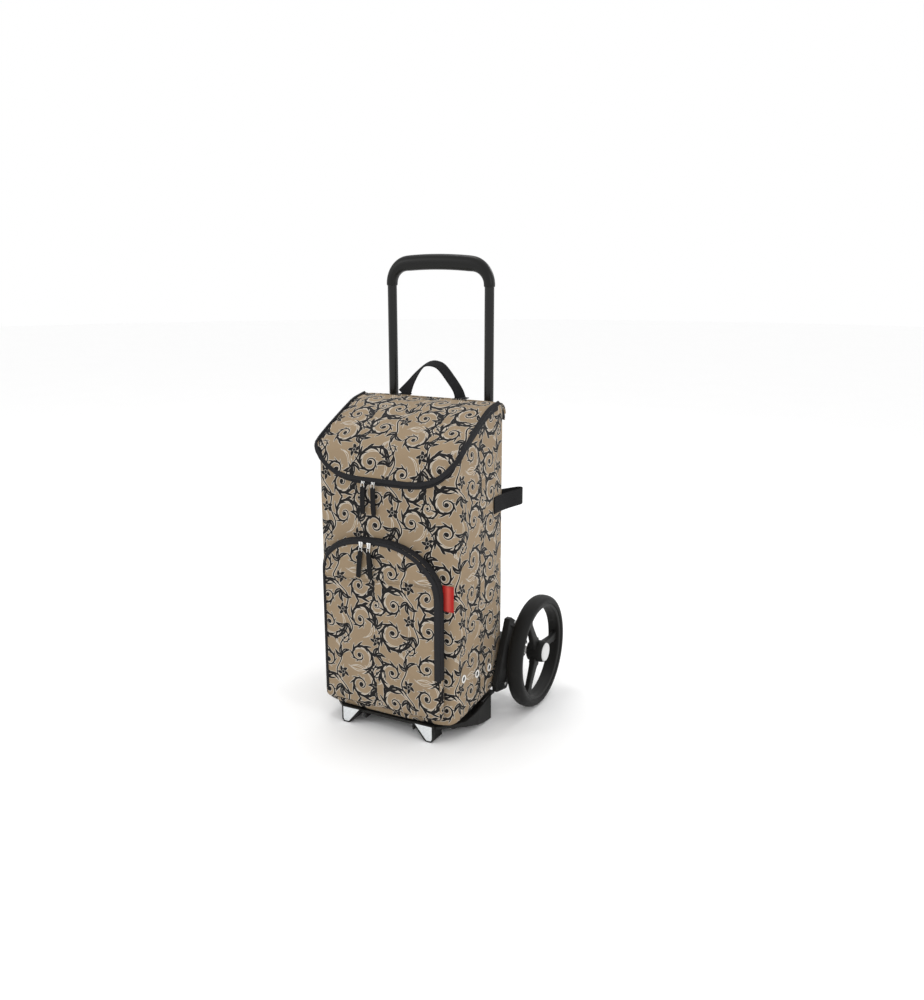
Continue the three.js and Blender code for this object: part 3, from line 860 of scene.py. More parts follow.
def zip_front(x):
    """Height of the main zip across the front."""
    return LIP + (ZIP_CORNER - LIP) * min(abs(x) / HALF, 1) ** 4.5


def zip_side(y):
    """Height of the main zip along a side, and of the shoulder behind it."""
    if y > -4:
        return SHOULDER + (ROOF - SHOULDER) * math.sqrt(max(1 - (max(y, 0) / REAR) ** 2, 0))
    s = (y - FRONT) / 188
    return min(ZIP_CORNER + 98 * s + 22 * s**2 - 34 * s**4, ROOF)


def rim_height(x, y):
    """Height of the walls' top edge."""
    return zip_side(y) if y > 0 else zip_front(x) + max(zip_side(y) - ZIP_CORNER, 0)


def heading(degrees):
    """x and y of a flat direction, counted from X towards Y."""
    return math.cos(math.radians(degrees)), math.sin(math.radians(degrees))


def bag_outline(sizes):
    """(x, y, outward angle, wall share) round the bag, left from the middle of its back."""
    half, front, rear = HALF, FRONT, REAR
    front_r, rear_r = sizes.front_corner, sizes.rear_corner
    corners = (  # middle, radius, outward angle and steps of the wall before it
        (-half + rear_r, rear - rear_r, rear_r, 90, 14),
        (-half + front_r, front + front_r, front_r, 180, 26),
        (half - front_r, front + front_r, front_r, 270, 36),
        (half - rear_r, rear - rear_r, rear_r, 360, 26),
        (0, rear, 0, 450, 14),
    )
    stations = []
    last = Vector((0, rear))
    for k, (cx, cy, r, start, walls) in enumerate(corners):
        c, s = heading(start)
        entry = Vector((cx + r * c, cy + r * s))
        for i in range(walls):
            share = i / walls
            spot = last.lerp(entry, share)
            stations.append((spot.x, spot.y, start, 2 * share - 1 if 0 < k < 4 else share))
        if k == 4:
            break
        for i in range(7):
            angle = start + 90 * i / 7
            c, s = heading(angle)
            stations.append((cx + r * c, cy + r * s, angle, 1))
        c, s = heading(start + 90)
        last = Vector((cx + r * c, cy + r * s))
    return [*stations, (0, rear, 450, 1)]


def wall_swell(x, y, z, share, sizes):
    """How far the wall stands out: nothing on the rear panel, which lies against the rack."""
    height = clamped((z - BOTTOM) / 600)
    pillow = (1 - share**4) * math.sin(math.pi * height) ** 0.6
    crease = noise.noise(Vector((x, y * 1.3, z * 0.75)) / 85) + 0.5 * noise.noise(Vector((x, y, z)) / 34)
    if y > REAR - 1:
        return -abs(crease) * sizes.wrinkle * 0.5
    reach = sizes.sag if abs(x) > HALF - 1 else sizes.sag * 0.45
    return reach * pillow + sizes.wrinkle * crease * (0.4 + 0.6 * pillow)


def base_height(x, y):
    """Height of the bag's bottom edge, which rises towards the corners and the back."""
    side = min(abs(x) / HALF, 1)
    back = clamped((y - FRONT) / 190)
    return BOTTOM + 13 * side**6 + 18 * side**6 * back**1.4


def side_point(side, y, z, sizes):
    """A place on a side panel of the bag."""
    share = 2 * (y - FRONT) / (REAR - FRONT) - 1
    swell = wall_swell(side * HALF, y, z, share, sizes)
    return Vector((side * (HALF + swell), y, z))


# ---- operators: one for each piece or group of like pieces ----


TUBE = 21  # diameter of the handle's tube
GRIP_DEPTH, GRIP_HEIGHT, GRIP_END = 25, 34, 23.5  # the grip's height falls to GRIP_END towards its ends


def handle_line(leg_bottom):
    """Middle line of the handle: up the left leg, over the arched bar and down the right leg."""
    low, high = box_mm("handle_tube")
    leg, top = high.x - TUBE / 2, high.z - TUBE / 2
    y = (low.y + high.y) / 2
    bend, arch = 45, math.radians(5)
    bar_half = leg - bend + bend * math.sin(arch)
    arch_r = bar_half / math.sin(arch)
    bend_z = top - arch_r * (1 - math.cos(arch)) - bend * math.cos(arch)
    right = [Vector((leg, y, leg_bottom + (bend_z - leg_bottom) * i / 30)) for i in range(30)]
    for i in range(15):
        angle = (math.pi / 2 - arch) * i / 14
        right.append(Vector((leg - bend * (1 - math.cos(angle)), y, bend_z + bend * math.sin(angle))))
    for i in range(1, 13):
        lean = arch * (1 - i / 12)
        right.append(Vector((arch_r * math.sin(lean), y, top - arch_r * (1 - math.cos(lean)))))
    left = [Vector((-point.x, point.y, point.z)) for point in right[:-1]]
    return left + right[::-1]


def off_arch(point, tangent):
    """Away from the inside of an arch that stands across the trolley."""
    return tangent.cross(Y_AXIS)


class TROLLEY_OT_handle(bpy.types.Operator):
    """Telescopic tube and its moulded oval grip"""

    bl_idname = "trolley.handle"
    bl_label = "Handle"

    def execute(self, context):
        sides = context.scene.trolley_rack.tube_sides
        bottom = box_mm("handle_tube")[0].z
        line = handle_line(bottom)
        tube = swept(ring(TUBE, TUBE, sides=sides), frames(line, off_arch))
        add_piece("handle_tube_bent", tube, "handle", "handle_paint", ["handle_tube"])

        grip_bottom = box_mm("handle_grip")[0].z
        line = [point for point in handle_line(grip_bottom) if point.z >= grip_bottom]
        reached = distances(line)

        def swell(v):
            at = reached[round(v * (len(reached) - 1))]
            from_end = min(at, reached[-1] - at)
            ends = min(from_end / 3, 1) ** 0.5
            middle = clamped((from_end - 6) / 76)
            middle = middle * middle * (3 - 2 * middle)
            height = GRIP_END + (GRIP_HEIGHT - GRIP_END) * middle
            return 0.9 + 0.1 * ends, height / GRIP_HEIGHT * (0.92 + 0.08 * ends)

        grip = swept(ring(GRIP_DEPTH, GRIP_HEIGHT, 0.86, sides=sides), frames(line, off_arch), swell)
        sharpened(add_piece("handle_grip_oval", grip, "handle", "grip", ["handle_grip"]), 60)
        seams = []
        for y in (-1, 1):
            seam = [point + Vector((0, y * (GRIP_DEPTH / 2 - 0.2), 0)) for point in line[8:-8]]
            seams.append(swept(ring(0.9, 0.5, sides=6), frames(seam, Y_AXIS)))
        add_piece("handle_grip_seam", merged(*seams), "handle", "grip")
        for name, _ in SIDES:
            dressed(f"tube_plug_{name}", "moulded_black")
        return {"FINISHED"}


MOULDINGS = (
    ("upper_cross_bar", 1.6), ("lower_cross_bar", 1.6), ("axle_tube", 0.5), ("hinge_rod", 0.6),
    ("base_platform", 0),
)
SIDE_MOULDINGS = (
    ("lower_tube", 0.4), ("tube_collar", 1.2), ("tube_boot", 1.2), ("axle_bracket", 1.3),
    ("lock_button", 0.8), ("front_foot", 1.0), ("stub_axle", 0.6),
)


class TROLLEY_OT_rack(bpy.types.Operator):
    """Tubes, collars, brackets, cross bars and the folding platform with its feet"""

    bl_idname = "trolley.rack"
    bl_label = "Rack and Platform"

    def execute(self, context):
        scale = context.scene.trolley_rack.edge
        for node, edge in MOULDINGS:
            refined(node, edge * scale)
        for name, _ in SIDES:
            for node, edge in SIDE_MOULDINGS:
                refined(f"{node}_{name}", edge * scale)
            refined(f"reflector_{name}", 0.35)
        return {"FINISHED"}


class TROLLEY_OT_rack_details(bpy.types.Operator):
    """Screw heads, ribs across the feet and rolled lips round the brackets"""

    bl_idname = "trolley.rack_details"
    bl_label = "Rack Details"

    def execute(self, context):
        for name, side in SIDES:
            self.bracket_screws(name, side)
            self.foot_ribs(name, side)
            self.bracket_lip(name, side)
        return {"FINISHED"}

    def bracket_screws(self, name, side):
        """Domed heads on the outer face of the bracket."""
        head = [(0, 0.3), (0, 4.2), *arc(0, 0, 1.6, 4.2, 0, 80, 5)[1:], (1.7, 0.3)]
        heads = [turned(head, (190 * side, y, z), 20, side) for y, z in ((8, 71), (57, 205))]
        add_piece(f"bracket_screws_{name}", merged(*heads), "rack", "steel")

    def foot_ribs(self, name, side):
        """Raised ribs across the outer side of the foot."""
        low, high = box_mm(f"front_foot_{name}")
        outer = high.x if side > 0 else low.x
        ribs = []
        for i in range(6):
            y = low.y + 12 + i * 5.2
            line = [Vector((outer, y, 8)), Vector((outer, y, 18)), Vector((outer, y, 27))]
            ribs.append(swept(ring(2, 1.6, sides=8), frames(line, (side, 0, 0))))
        add_piece(f"foot_ribs_{name}", merged(*ribs), "platform", "moulded_black")

    def bracket_lip(self, name, side):
        """Rolled lip round the top of the bracket's open channel."""
        points = [(188, -20, 85), (188, 15, 76), (188, 36, 130), (188, 57, 189), (188, 35, 205)]
        line = smooth_line([(side * x, y, z) for x, y, z in points], 40)
        lip = swept(ring(3.4, 3.0, sides=10), frames(line, (side, 0, 0)))
        add_piece(f"bracket_lip_{name}", lip, "rack", "moulded_black")


class TROLLEY_OT_wheels(bpy.types.Operator):
    """Tyres, three-spoked rims, hubs and push-in caps"""

    bl_idname = "trolley.wheels"
    bl_label = "Wheels"

    def execute(self, context):
        steps = context.scene.trolley_rack.wheel_steps
        for name, side in SIDES:
            centre = middle_mm(f"tyre_{name}")
            self.tyre(name, side, centre, steps)
            self.rim(name, side, centre, steps)
            self.cap(name, side, centre)
            for node in ("hub_bush_inner", "hub_bush_outer"):
                dressed(f"{node}_{name}", "moulded_black")
        return {"FINISHED"}

    def tyre(self, name, side, centre, steps):
        crown = [(-x, r) for x, r in arc(0, 119.5, 18, 11.5, 0, 180, 20)]
        crown = [(math.copysign(abs(x) ** 0.8 * 18**0.2, x), r) for x, r in crown]
        profile = [(-15.5, 112.3), (-17.6, 114.5), *crown, (17.6, 114.5), (15.5, 112.3)]
        bm = turned(profile, centre, steps, side)
        for x in (-16.6, 16.6):
            ridge = arc(x, 116.6, 1.2, 0.9, 0, 360, 8)[:-1]
            merged(bm, turned(ridge, centre, steps, side))
        sharpened(add_piece(f"tyre_round_{name}", bm, f"wheel_{name}", "tyre", [f"tyre_{name}"]), 50)

    def rim(self, name, side, centre, steps):
        profile = [
            (-15, 112), (-15, 108), (-13.5, 105.4), (-11, 104.6), (-4, 106), (4, 106), (11, 104.6),
            (13.5, 105.4), (15, 108), (15, 112),
        ]
        bm = turned(profile, centre, steps, side)
        hub = [
            (-16, 13.4), (-16, 22), (-14, 24.4), (-9, 25), (12, 25), (18, 24.2), (21.6, 23.2), (23, 22.6),
            (23, 22.1), (15.5, 22), (15.5, 13.4),
        ]
        merged(bm, turned(hub, centre, 48, side))
        for k in range(3):
            merged(bm, self.spoke(side, centre, 120 * k))
        piece = add_piece(f"rim_spoked_{name}", bm, f"wheel_{name}", "moulded_black", [f"rim_{name}"])
        sharpened(piece, 32)

    def spoke(self, side, centre, degrees):
        """A flat blade, wide at the hub and flared into the rim."""
        bm = bmesh.new()
        bmesh.ops.create_cube(bm, size=1)
        bmesh.ops.subdivide_edges(bm, edges=self.lengthways(bm), cuts=9, use_grid_fill=True)
        for vert in bm.verts:
            share = vert.co.y + 0.5
            reach = 21 + 86.5 * share
            width = 24 - 8 * math.sin(math.pi * min(share * 0.62, 1)) + 9 * max(share - 0.82, 0) / 0.18
            width += 5 * max(0.12 - share, 0) / 0.12
            thick = 14 - 3 * share
            vert.co = Vector((0.5 + vert.co.x * thick, reach, vert.co.z * width))
        bmesh.ops.bevel(
            bm, geom=self.lengthways(bm), offset=2.2, segments=3, profile=0.5, affect="EDGES",
            material=-1, clamp_overlap=True,
        )
        turn = Matrix.Rotation(math.radians(degrees), 4, "X")
        flip = Matrix.Rotation(0 if side > 0 else math.pi, 4, "Z")
        place = Matrix.Scale(MM, 4) @ Matrix.Translation(centre) @ flip @ turn
        bmesh.ops.transform(bm, matrix=place, verts=bm.verts)
        bmesh.ops.recalc_face_normals(bm, faces=bm.faces)
        return bm

    def lengthways(self, bm):
        """Edges that run along the spoke."""
        return [
            edge for edge in bm.edges
            if abs((edge.verts[0].co - edge.verts[1].co).normalized().y) > 0.5
        ]

    def cap(self, name, side, centre):
        dome = [(20, 0.2), (20, 20.6), (21, 21.5), (23.6, 21.5), (25, 20.4), (25.7, 17), (26, 10), (26, 0.2)]
        bm = turned(dome, centre, 48, side)
        groove = arc(25.7, 15, 0.5, 0.9, 0, 360, 8)[:-1]
        merged(bm, turned(groove, centre, 48, side))
        piece = add_piece(f"hub_cap_round_{name}", bm, f"cap_{name}", "cap_silver", [f"hub_cap_{name}"])
        sharpened(piece, 50)


TURN_STEPS, WALL_STEPS = 6, 44  # rows of faces round the bag's bottom edge and up its walls


class TROLLEY_OT_bag_body(bpy.types.Operator):
    """Bag walls and bottom, sagging between their corners, with the rear roof strip"""

    bl_idname = "trolley.bag_body"
    bl_label = "Bag Body"

    def execute(self, context):
        sizes = context.scene.trolley_bag
        stations = bag_outline(sizes)
        columns = len(stations) - 1
        around = distances([Vector((x, y)) for x, y, _, _ in stations])
        levels = [("floor", share) for share in (0, 0.35, 0.7, 0.9)]
        levels += [("turn", i / TURN_STEPS) for i in range(TURN_STEPS + 1)]
        levels += [("wall", i / WALL_STEPS) for i in range(1, WALL_STEPS + 1)]
        rows = len(levels) - 1

        def place(u, v):
            x, y, angle, share = stations[round(u * columns)]
            kind, part = levels[round(v * rows)]
            low = base_height(x, y)
            middle = Vector((0, (FRONT + REAR) / 2, 0))
            inset, rise = 6 + 4 * abs(x) / HALF, 10
            out = Vector((*heading(angle), 0))
            edge = Vector((x, y, 0))
            if kind == "floor":
                flat = middle.lerp(edge - out * inset, part)
                return flat + Z_AXIS * (BOTTOM + (low - BOTTOM) * part**4)
            if kind == "turn":
                bend = math.pi / 2 * part
                height = low + rise * (1 - math.cos(bend))
                return edge - out * inset * (1 - math.sin(bend)) + Z_AXIS * height
            height = low + rise + (rim_height(x, y) - low - rise) * part
            return edge + out * wall_swell(x, y, height, share, sizes) + Z_AXIS * height

        def chart(u, v):
            point = place(u, v)
            return around[round(u * columns)], point.z

        bm = surface(columns, rows, place, chart)
        bmesh.ops.remove_doubles(bm, verts=bm.verts, dist=2e-6)
        add_wall(add_piece("bag_body", bm, "bag", "printed_fabric", ["bag_shell"], LINED), 3.2, 1)
        self.roof_strip()
        self.shoulder_seams()
        dressed("bottom_board", "board")
        return {"FINISHED"}

    def roof_strip(self):
        """Strip from the lid's hinge line over the shoulder to the rear panel."""
        profile = arc(0, SHOULDER - 6, REAR + 0.2, ROOF - SHOULDER + 6.3, 0, 90, 14)
        profile = [(REAR + 0.2, SHOULDER - 14), *profile]
        reached = distances([Vector(point) for point in profile])
        rows = len(profile) - 1
        half = HALF - 1.5

        def place(u, v):
            y, z = profile[round(v * rows)]
            across = 2 * u - 1
            drop = 3 * max(abs(across) - 0.93, 0) / 0.07
            x = half * across + math.copysign(1.2, across) * min(drop, 1) ** 2
            crown = 1.5 * (1 - across**4) * (z - SHOULDER) / 26
            return x, y - drop * 0.25 * (y / REAR), z - drop * 0.7 + crown

        bm = surface(40, rows, place, lambda u, v: (-half + 2 * half * u, 400 + reached[round(v * rows)]))
        bmesh.ops.reverse_faces(bm, faces=bm.faces)
        add_wall(add_piece("bag_roof_strip", bm, "bag", "printed_fabric", finishes=LINED), 2.5, 1)

    def shoulder_seams(self):
        """Corded seams round the shoulders."""
        cords = []
        for _, side in SIDES:
            profile = [(0, ROOF - 1.5)] + arc(0, SHOULDER - 2, REAR - 1, ROOF - SHOULDER + 1, 90, 0, 12)
            line = [Vector((side * (HALF + 0.3), y, z)) for y, z in profile]
            cords.append(swept(ring(3, 3, sides=8), frames(line, (side, 0, 0))))
        add_piece("bag_shoulder_piping", merged(*cords), "bag", "printed_fabric")


LID_PROFILE = (
    (-0.6, 719.8), (-22, 716), (-50, 709.4), (-90, 691), (-132, 668.5), (-172, 643.5), (-190, 629.5),
    (-199, 613), (-203, 592), (-203.5, 575), (-203, 555),
)


LID_STEPS = 240


class LidForm:
    """The lid's surface: u runs across it and v from the hinge line to the lip."""

    def __init__(self, sizes):
        self.line = smooth_line([(0, y, z) for y, z in LID_PROFILE], LID_STEPS)
        self.reached = distances(self.line)
        self.crown = sizes.lid_crown
        self.wrinkle = sizes.wrinkle

    def reach(self, x):
        """Distance along the profile to the lid's edge."""
        lip = zip_front(x) + 2
        return next(d for d, point in zip(self.reached, self.line) if point.z < lip)

    def point(self, u, v):
        across = 0.6 * bunched(u) + 0.4 * (2 * u - 1)
        x = across * HALF
        d = self.reach(x) * v
        spot = self.line[min(round(d / self.reached[-1] * LID_STEPS), LID_STEPS)].copy()
        forward = clamped((-spot.y - 60) / 110)
        crown = self.crown * (1 - abs(across) ** 2.6) * math.sin(math.pi * min(d / 235, 1)) ** 1.3
        crease = noise.noise(Vector((x, spot.y, 3)) / 62) * self.wrinkle
        slope = Vector((0, -0.55, 0.83)) if spot.z > 630 else Vector((0, -0.95, 0.3))
        spot.x = across * (HALF + 0.8 + 5.5 * forward**2 * (1 if spot.z > 615 else 0.8))
        return spot + slope * (crown + crease)

    def chart(self, u, v):
        point = self.point(u, v)
        return point.x + 60, self.reach(point.x) * v - 900

    def edge(self):
        """The lid's edge: forwards on the left, across the lip and back on the right."""
        left = [self.point(0, i / 40) for i in range(40)]
        lip = [self.point(i / 80, 1) for i in range(81)]
        right = [self.point(1, i / 40) for i in range(39, -1, -1)]
        return left + lip + right


def away_from_bag(tilt):
    """An outer side that points away from the bag's middle and is tilted upwards."""

    def outward(point, tangent):
        flat = Vector((tangent.y, -tangent.x, 0))
        if flat.dot(Vector((point.x, point.y + 80, 0))) < 0:
            flat.negate()
        return flat.normalized() + Vector((0, 0, tilt))

    return outward


ZIP_STEPS = 260
LEAST_GAP = 1.5  # between two points that a smooth line goes through


def thinned(points):
    """A line without points that are nearly in one place."""
    kept = [points[0]]
    for point in points[1:]:
        if (point - kept[-1]).length > LEAST_GAP:
            kept.append(point)
    return kept


class TROLLEY_OT_lid(bpy.types.Operator):
    """Crowned lid that folds at its rear edge, with its bound edge"""

    bl_idname = "trolley.lid"
    bl_label = "Lid"

    def execute(self, context):
        form = LidForm(context.scene.trolley_bag)
        bm = surface(72, 72, form.point, form.chart)
        bmesh.ops.reverse_faces(bm, faces=bm.faces)
        add_wall(add_piece("lid_cover", bm, "lid", "printed_fabric", ["lid_panel"], LINED), 2.6, 1)
        path = frames(smooth_line(thinned(form.edge()), ZIP_STEPS), away_from_bag(0.5))
        binding = swept(ring(10, 6, 0.85, sides=14), path)
        add_piece("lid_binding", binding, "lid", "charcoal_tape", ["lid_zip_band"])
        stitches("lid_binding_stitches", "lid", rows_beside(path, (-3, 3), 2.9))
        return {"FINISHED"}


def zip_line(sizes, below, grow):
    """The main zip's line on the bag, lowered and moved outwards."""
    line = []
    for x, y, angle, share in bag_outline(sizes):
        if y < -4:
            z = rim_height(x, y) - below
            out = Vector((*heading(angle), 0))
            line.append(Vector((x, y, z)) + out * (grow + wall_swell(x, y, z, share, sizes)))
    return smooth_line(thinned(line), ZIP_STEPS)


class TROLLEY_OT_main_zip(bpy.types.Operator):
    """Tape and coil of the main zip, on the bag"""

    bl_idname = "trolley.main_zip"
    bl_label = "Main Zip"

    def execute(self, context):
        sizes = context.scene.trolley_bag
        line = zip_line(sizes, 6.5, 0.6)
        path = frames(line, away_from_bag(0))

        def spread(v):
            """Narrower across the front than along the sides."""
            along = clamped((line[round(v * ZIP_STEPS)].y - FRONT) / 30)
            return 0.72 + 0.36 * along, 1

        tape = swept(ring(15, 4.2, 0.7, sides=14), path, spread)
        add_piece("main_zip_tape", tape, "bag", "charcoal_tape", ["main_zip_band"])
        coil = swept(ring(3.4, 3.6, sides=10), frames(zip_line(sizes, 2.4, 1.8), away_from_bag(0.2)))
        add_piece("main_zip_coil", coil, "bag", "charcoal_tape", finishes=["zip_teeth"])
        stitches("main_zip_stitches", "bag", rows_beside(path, (-3.4, 3.4), 1.9))
        return {"FINISHED"}


POCKET_LOW, POCKET_HIGH = box_mm("pocket_panel")
POCKET_X = (POCKET_LOW.x + POCKET_HIGH.x) / 2
POCKET_HALF = (POCKET_HIGH.x - POCKET_LOW.x) / 2
POCKET_EDGE = POCKET_HIGH.y  # where the panel's edge meets the gusset
TAPE_ENDS = (70, 146)  # heights where the dark tape ends, left and right
GUSSET_STEPS, BINDING_STEPS = 200, 240


def pocket_arch(across):
    """Height of the pocket's top, from -1 at its left edge to 1 at its right."""
    power, shoulder = (2.6, 352) if across < 0 else (2.0, 333)
    return shoulder + (POCKET_HIGH.z - shoulder) * max(1 - abs(across) ** power, 0) ** (1 / power)


def pocket_outline(grow=0.0):
    """(x, z) up the left side, over the arch and down the right side of the pocket."""
    low = POCKET_LOW.z
    points = [(-1, low + (pocket_arch(-1) - low) * i / 24) for i in range(24)]
    points += [(math.sin(math.radians(a)), None) for a in range(-90, 91, 3)]
    points += [(1, low + (pocket_arch(1) - low) * i / 24) for i in range(23, -1, -1)]
    line = []
    for across, z in points:
        height = pocket_arch(across) if z is None else z
        line.append((POCKET_X + (POCKET_HALF + grow) * across, height + (grow if z is None else 0)))
    return line


def clear_of_pocket(point, tangent):
    """In the pocket's plane, away from its middle."""
    out = Vector((tangent.z, 0, -tangent.x))
    if out.dot(Vector((point.x - POCKET_X, 0, point.z - 240))) < 0:
        out.negate()
    return out


class TROLLEY_OT_pocket(bpy.types.Operator):
    """Front pocket: puffed panel with a welted seam, gusset, binding and zip"""

    bl_idname = "trolley.pocket"
    bl_label = "Front Pocket"

    def execute(self, context):
        self.sizes = context.scene.trolley_bag
        self.panel()
        self.gusset()
        self.binding()
        return {"FINISHED"}

    def panel_point(self, u, v):
        across = bunched(u)
        low = POCKET_LOW.z
        z = low + (pocket_arch(across) - low) * v
        x = POCKET_X + POCKET_HALF * across
        edge = min((1 - abs(across)) / 0.10, (1 - v) / 0.06, v / 0.06, 1)
        rounding = 1 - (1 - max(edge, 0)) ** 2
        swell = (1 - abs(across) ** 3) * math.sin(math.pi * min(max(v, 0.02), 0.98)) ** 0.5
        crease = noise.noise(Vector((x, 9, z * 0.8)) / 52) + 0.4 * noise.noise(Vector((x, 2, z)) / 23)
        seam = self.seam_height(x)
        groove = math.exp(-(((z - seam) / 2.4) ** 2)) * 3.2
        fold = math.exp(-(((z - seam - 7) / 6) ** 2)) * 2.2
        proud = 2.5 * rounding + self.sizes.pocket_crown * swell + self.sizes.wrinkle * crease * rounding
        return x, POCKET_EDGE - proud - (fold - groove) * rounding, z

    def seam_height(self, x):
        """The welted seam across the pocket, which dips a little."""
        across = (x - POCKET_X) / POCKET_HALF
        return 352 + 6 * across + 3 * math.sin(2.4 * across + 0.6)

    def panel(self):
        bm = surface(88, 110, self.panel_point, lambda u, v: self.panel_point(u, v)[::2])
        add_wall(add_piece("pocket_front", bm, "pocket", "printed_fabric", ["pocket_panel"], LINED), 2.4, 1)
        rows = []
        for shift in (-2.8, 3.4):
            line = []
            for i in range(61):
                u = 0.04 + 0.92 * i / 60
                x = self.panel_point(u, 0.5)[0]
                z = self.seam_height(x) + shift
                v = (z - POCKET_LOW.z) / (pocket_arch(bunched(u)) - POCKET_LOW.z)
                if v < 0.99:
                    line.append(Vector(self.panel_point(u, v)))
            rows.append(frames(line, FORWARDS))
        stitches("pocket_seam_stitches", "pocket", rows)

    def gusset(self):
        """The dark tape over the arch and the printed strip below it."""
        outline = pocket_outline()
        line = [Vector((x, 0, z)) for x, z in outline]
        left, right = TAPE_ENDS
        tape = [p for p in line if p.z > (left if p.x < POCKET_X else right)]
        low, r = POCKET_LOW.z, 7  # r rounds the two lower corners
        x_left, x_right = POCKET_X - POCKET_HALF, POCKET_X + POCKET_HALF
        turn = [(math.cos(math.pi * i / 16), math.sin(math.pi * i / 16)) for i in range(9)]
        base = [p for p in line if p.x > POCKET_X and r + low < p.z <= right + 14]
        base += [Vector((x_right - r + r * c, 0, low + r - r * s)) for c, s in turn[1:]]
        base += [Vector((x_left + r - r * s, 0, low + r - r * c)) for c, s in turn]
        base += [Vector((x_left, 0, left + 8))]
        base = [a.lerp(b, i / 16) for a, b in zip(base, base[1:]) for i in range(16)] + base[-1:]
        strips = (
            ("pocket_gusset_tape", tape, "charcoal_tape", ["pocket_gusset"], 1.2),
            ("pocket_gusset_print", base, "printed_fabric", [], 0.6),
        )
        for name, points, slot, nodes, proud in strips:
            points = spaced(points, GUSSET_STEPS)
            path = frames(points, clear_of_pocket)
            reached = distances(points)
            depth = POCKET_EDGE - (FRONT + 1.5)

            def place(u, v):
                point, _, out = path[round(v * GUSSET_STEPS)]
                belly = proud + 2.2 * math.sin(math.pi * u)
                return point + out * belly + Y_AXIS * (FRONT + 1.5 + depth * u)

            bm = surface(12, GUSSET_STEPS, place, lambda u, v: (u * depth, reached[round(v * GUSSET_STEPS)]))
            piece = add_piece(name, bm, "bag", slot, nodes, [slot, "lining"])
            add_wall(piece, 1.8, 1).modifiers["wall"].offset = 0

    def binding(self):
        """Puffy bound edge on the panel, the zip coil behind it and their stitches."""
        line = [
            Vector((x, POCKET_EDGE - 2.6, z)) for x, z in pocket_outline(-4.0)
            if z > TAPE_ENDS[x > POCKET_X] - 3
        ]
        line = smooth_line(line, BINDING_STEPS)
        path = frames(line, FORWARDS)

        def spread(v):
            """Wide down the right side, even over the arch, narrow down the left and at both ends."""
            point = line[round(v * BINDING_STEPS)]
            across = (point.x - POCKET_X) / POCKET_HALF
            right = clamped((across - 0.7) / 0.25)
            left = clamped((-across - 0.86) / 0.08)
            low = clamped((TAPE_ENDS[1] + 4 - point.z) / 7) * (across > 0)
            return (1 + 0.45 * right - 0.5 * left) * (1 - 0.72 * low), 1 - 0.35 * max(low, left)

        bm = swept(ring(10, 5.2, 0.85, sides=14), path, spread)
        add_piece("pocket_binding", bm, "pocket", "charcoal_tape")
        coil = [Vector((x, POCKET_EDGE + 0.9, z)) for x, z in pocket_outline(0.6) if z > TAPE_ENDS[1]]
        coil = swept(ring(2.6, 2.8, sides=8), frames(smooth_line(coil, 200), clear_of_pocket))
        add_piece("pocket_zip_coil", coil, "bag", "charcoal_tape", finishes=["zip_teeth"])
        stitches("pocket_binding_stitches", "pocket", rows_beside(path[30:-70], (0,), 2.3))


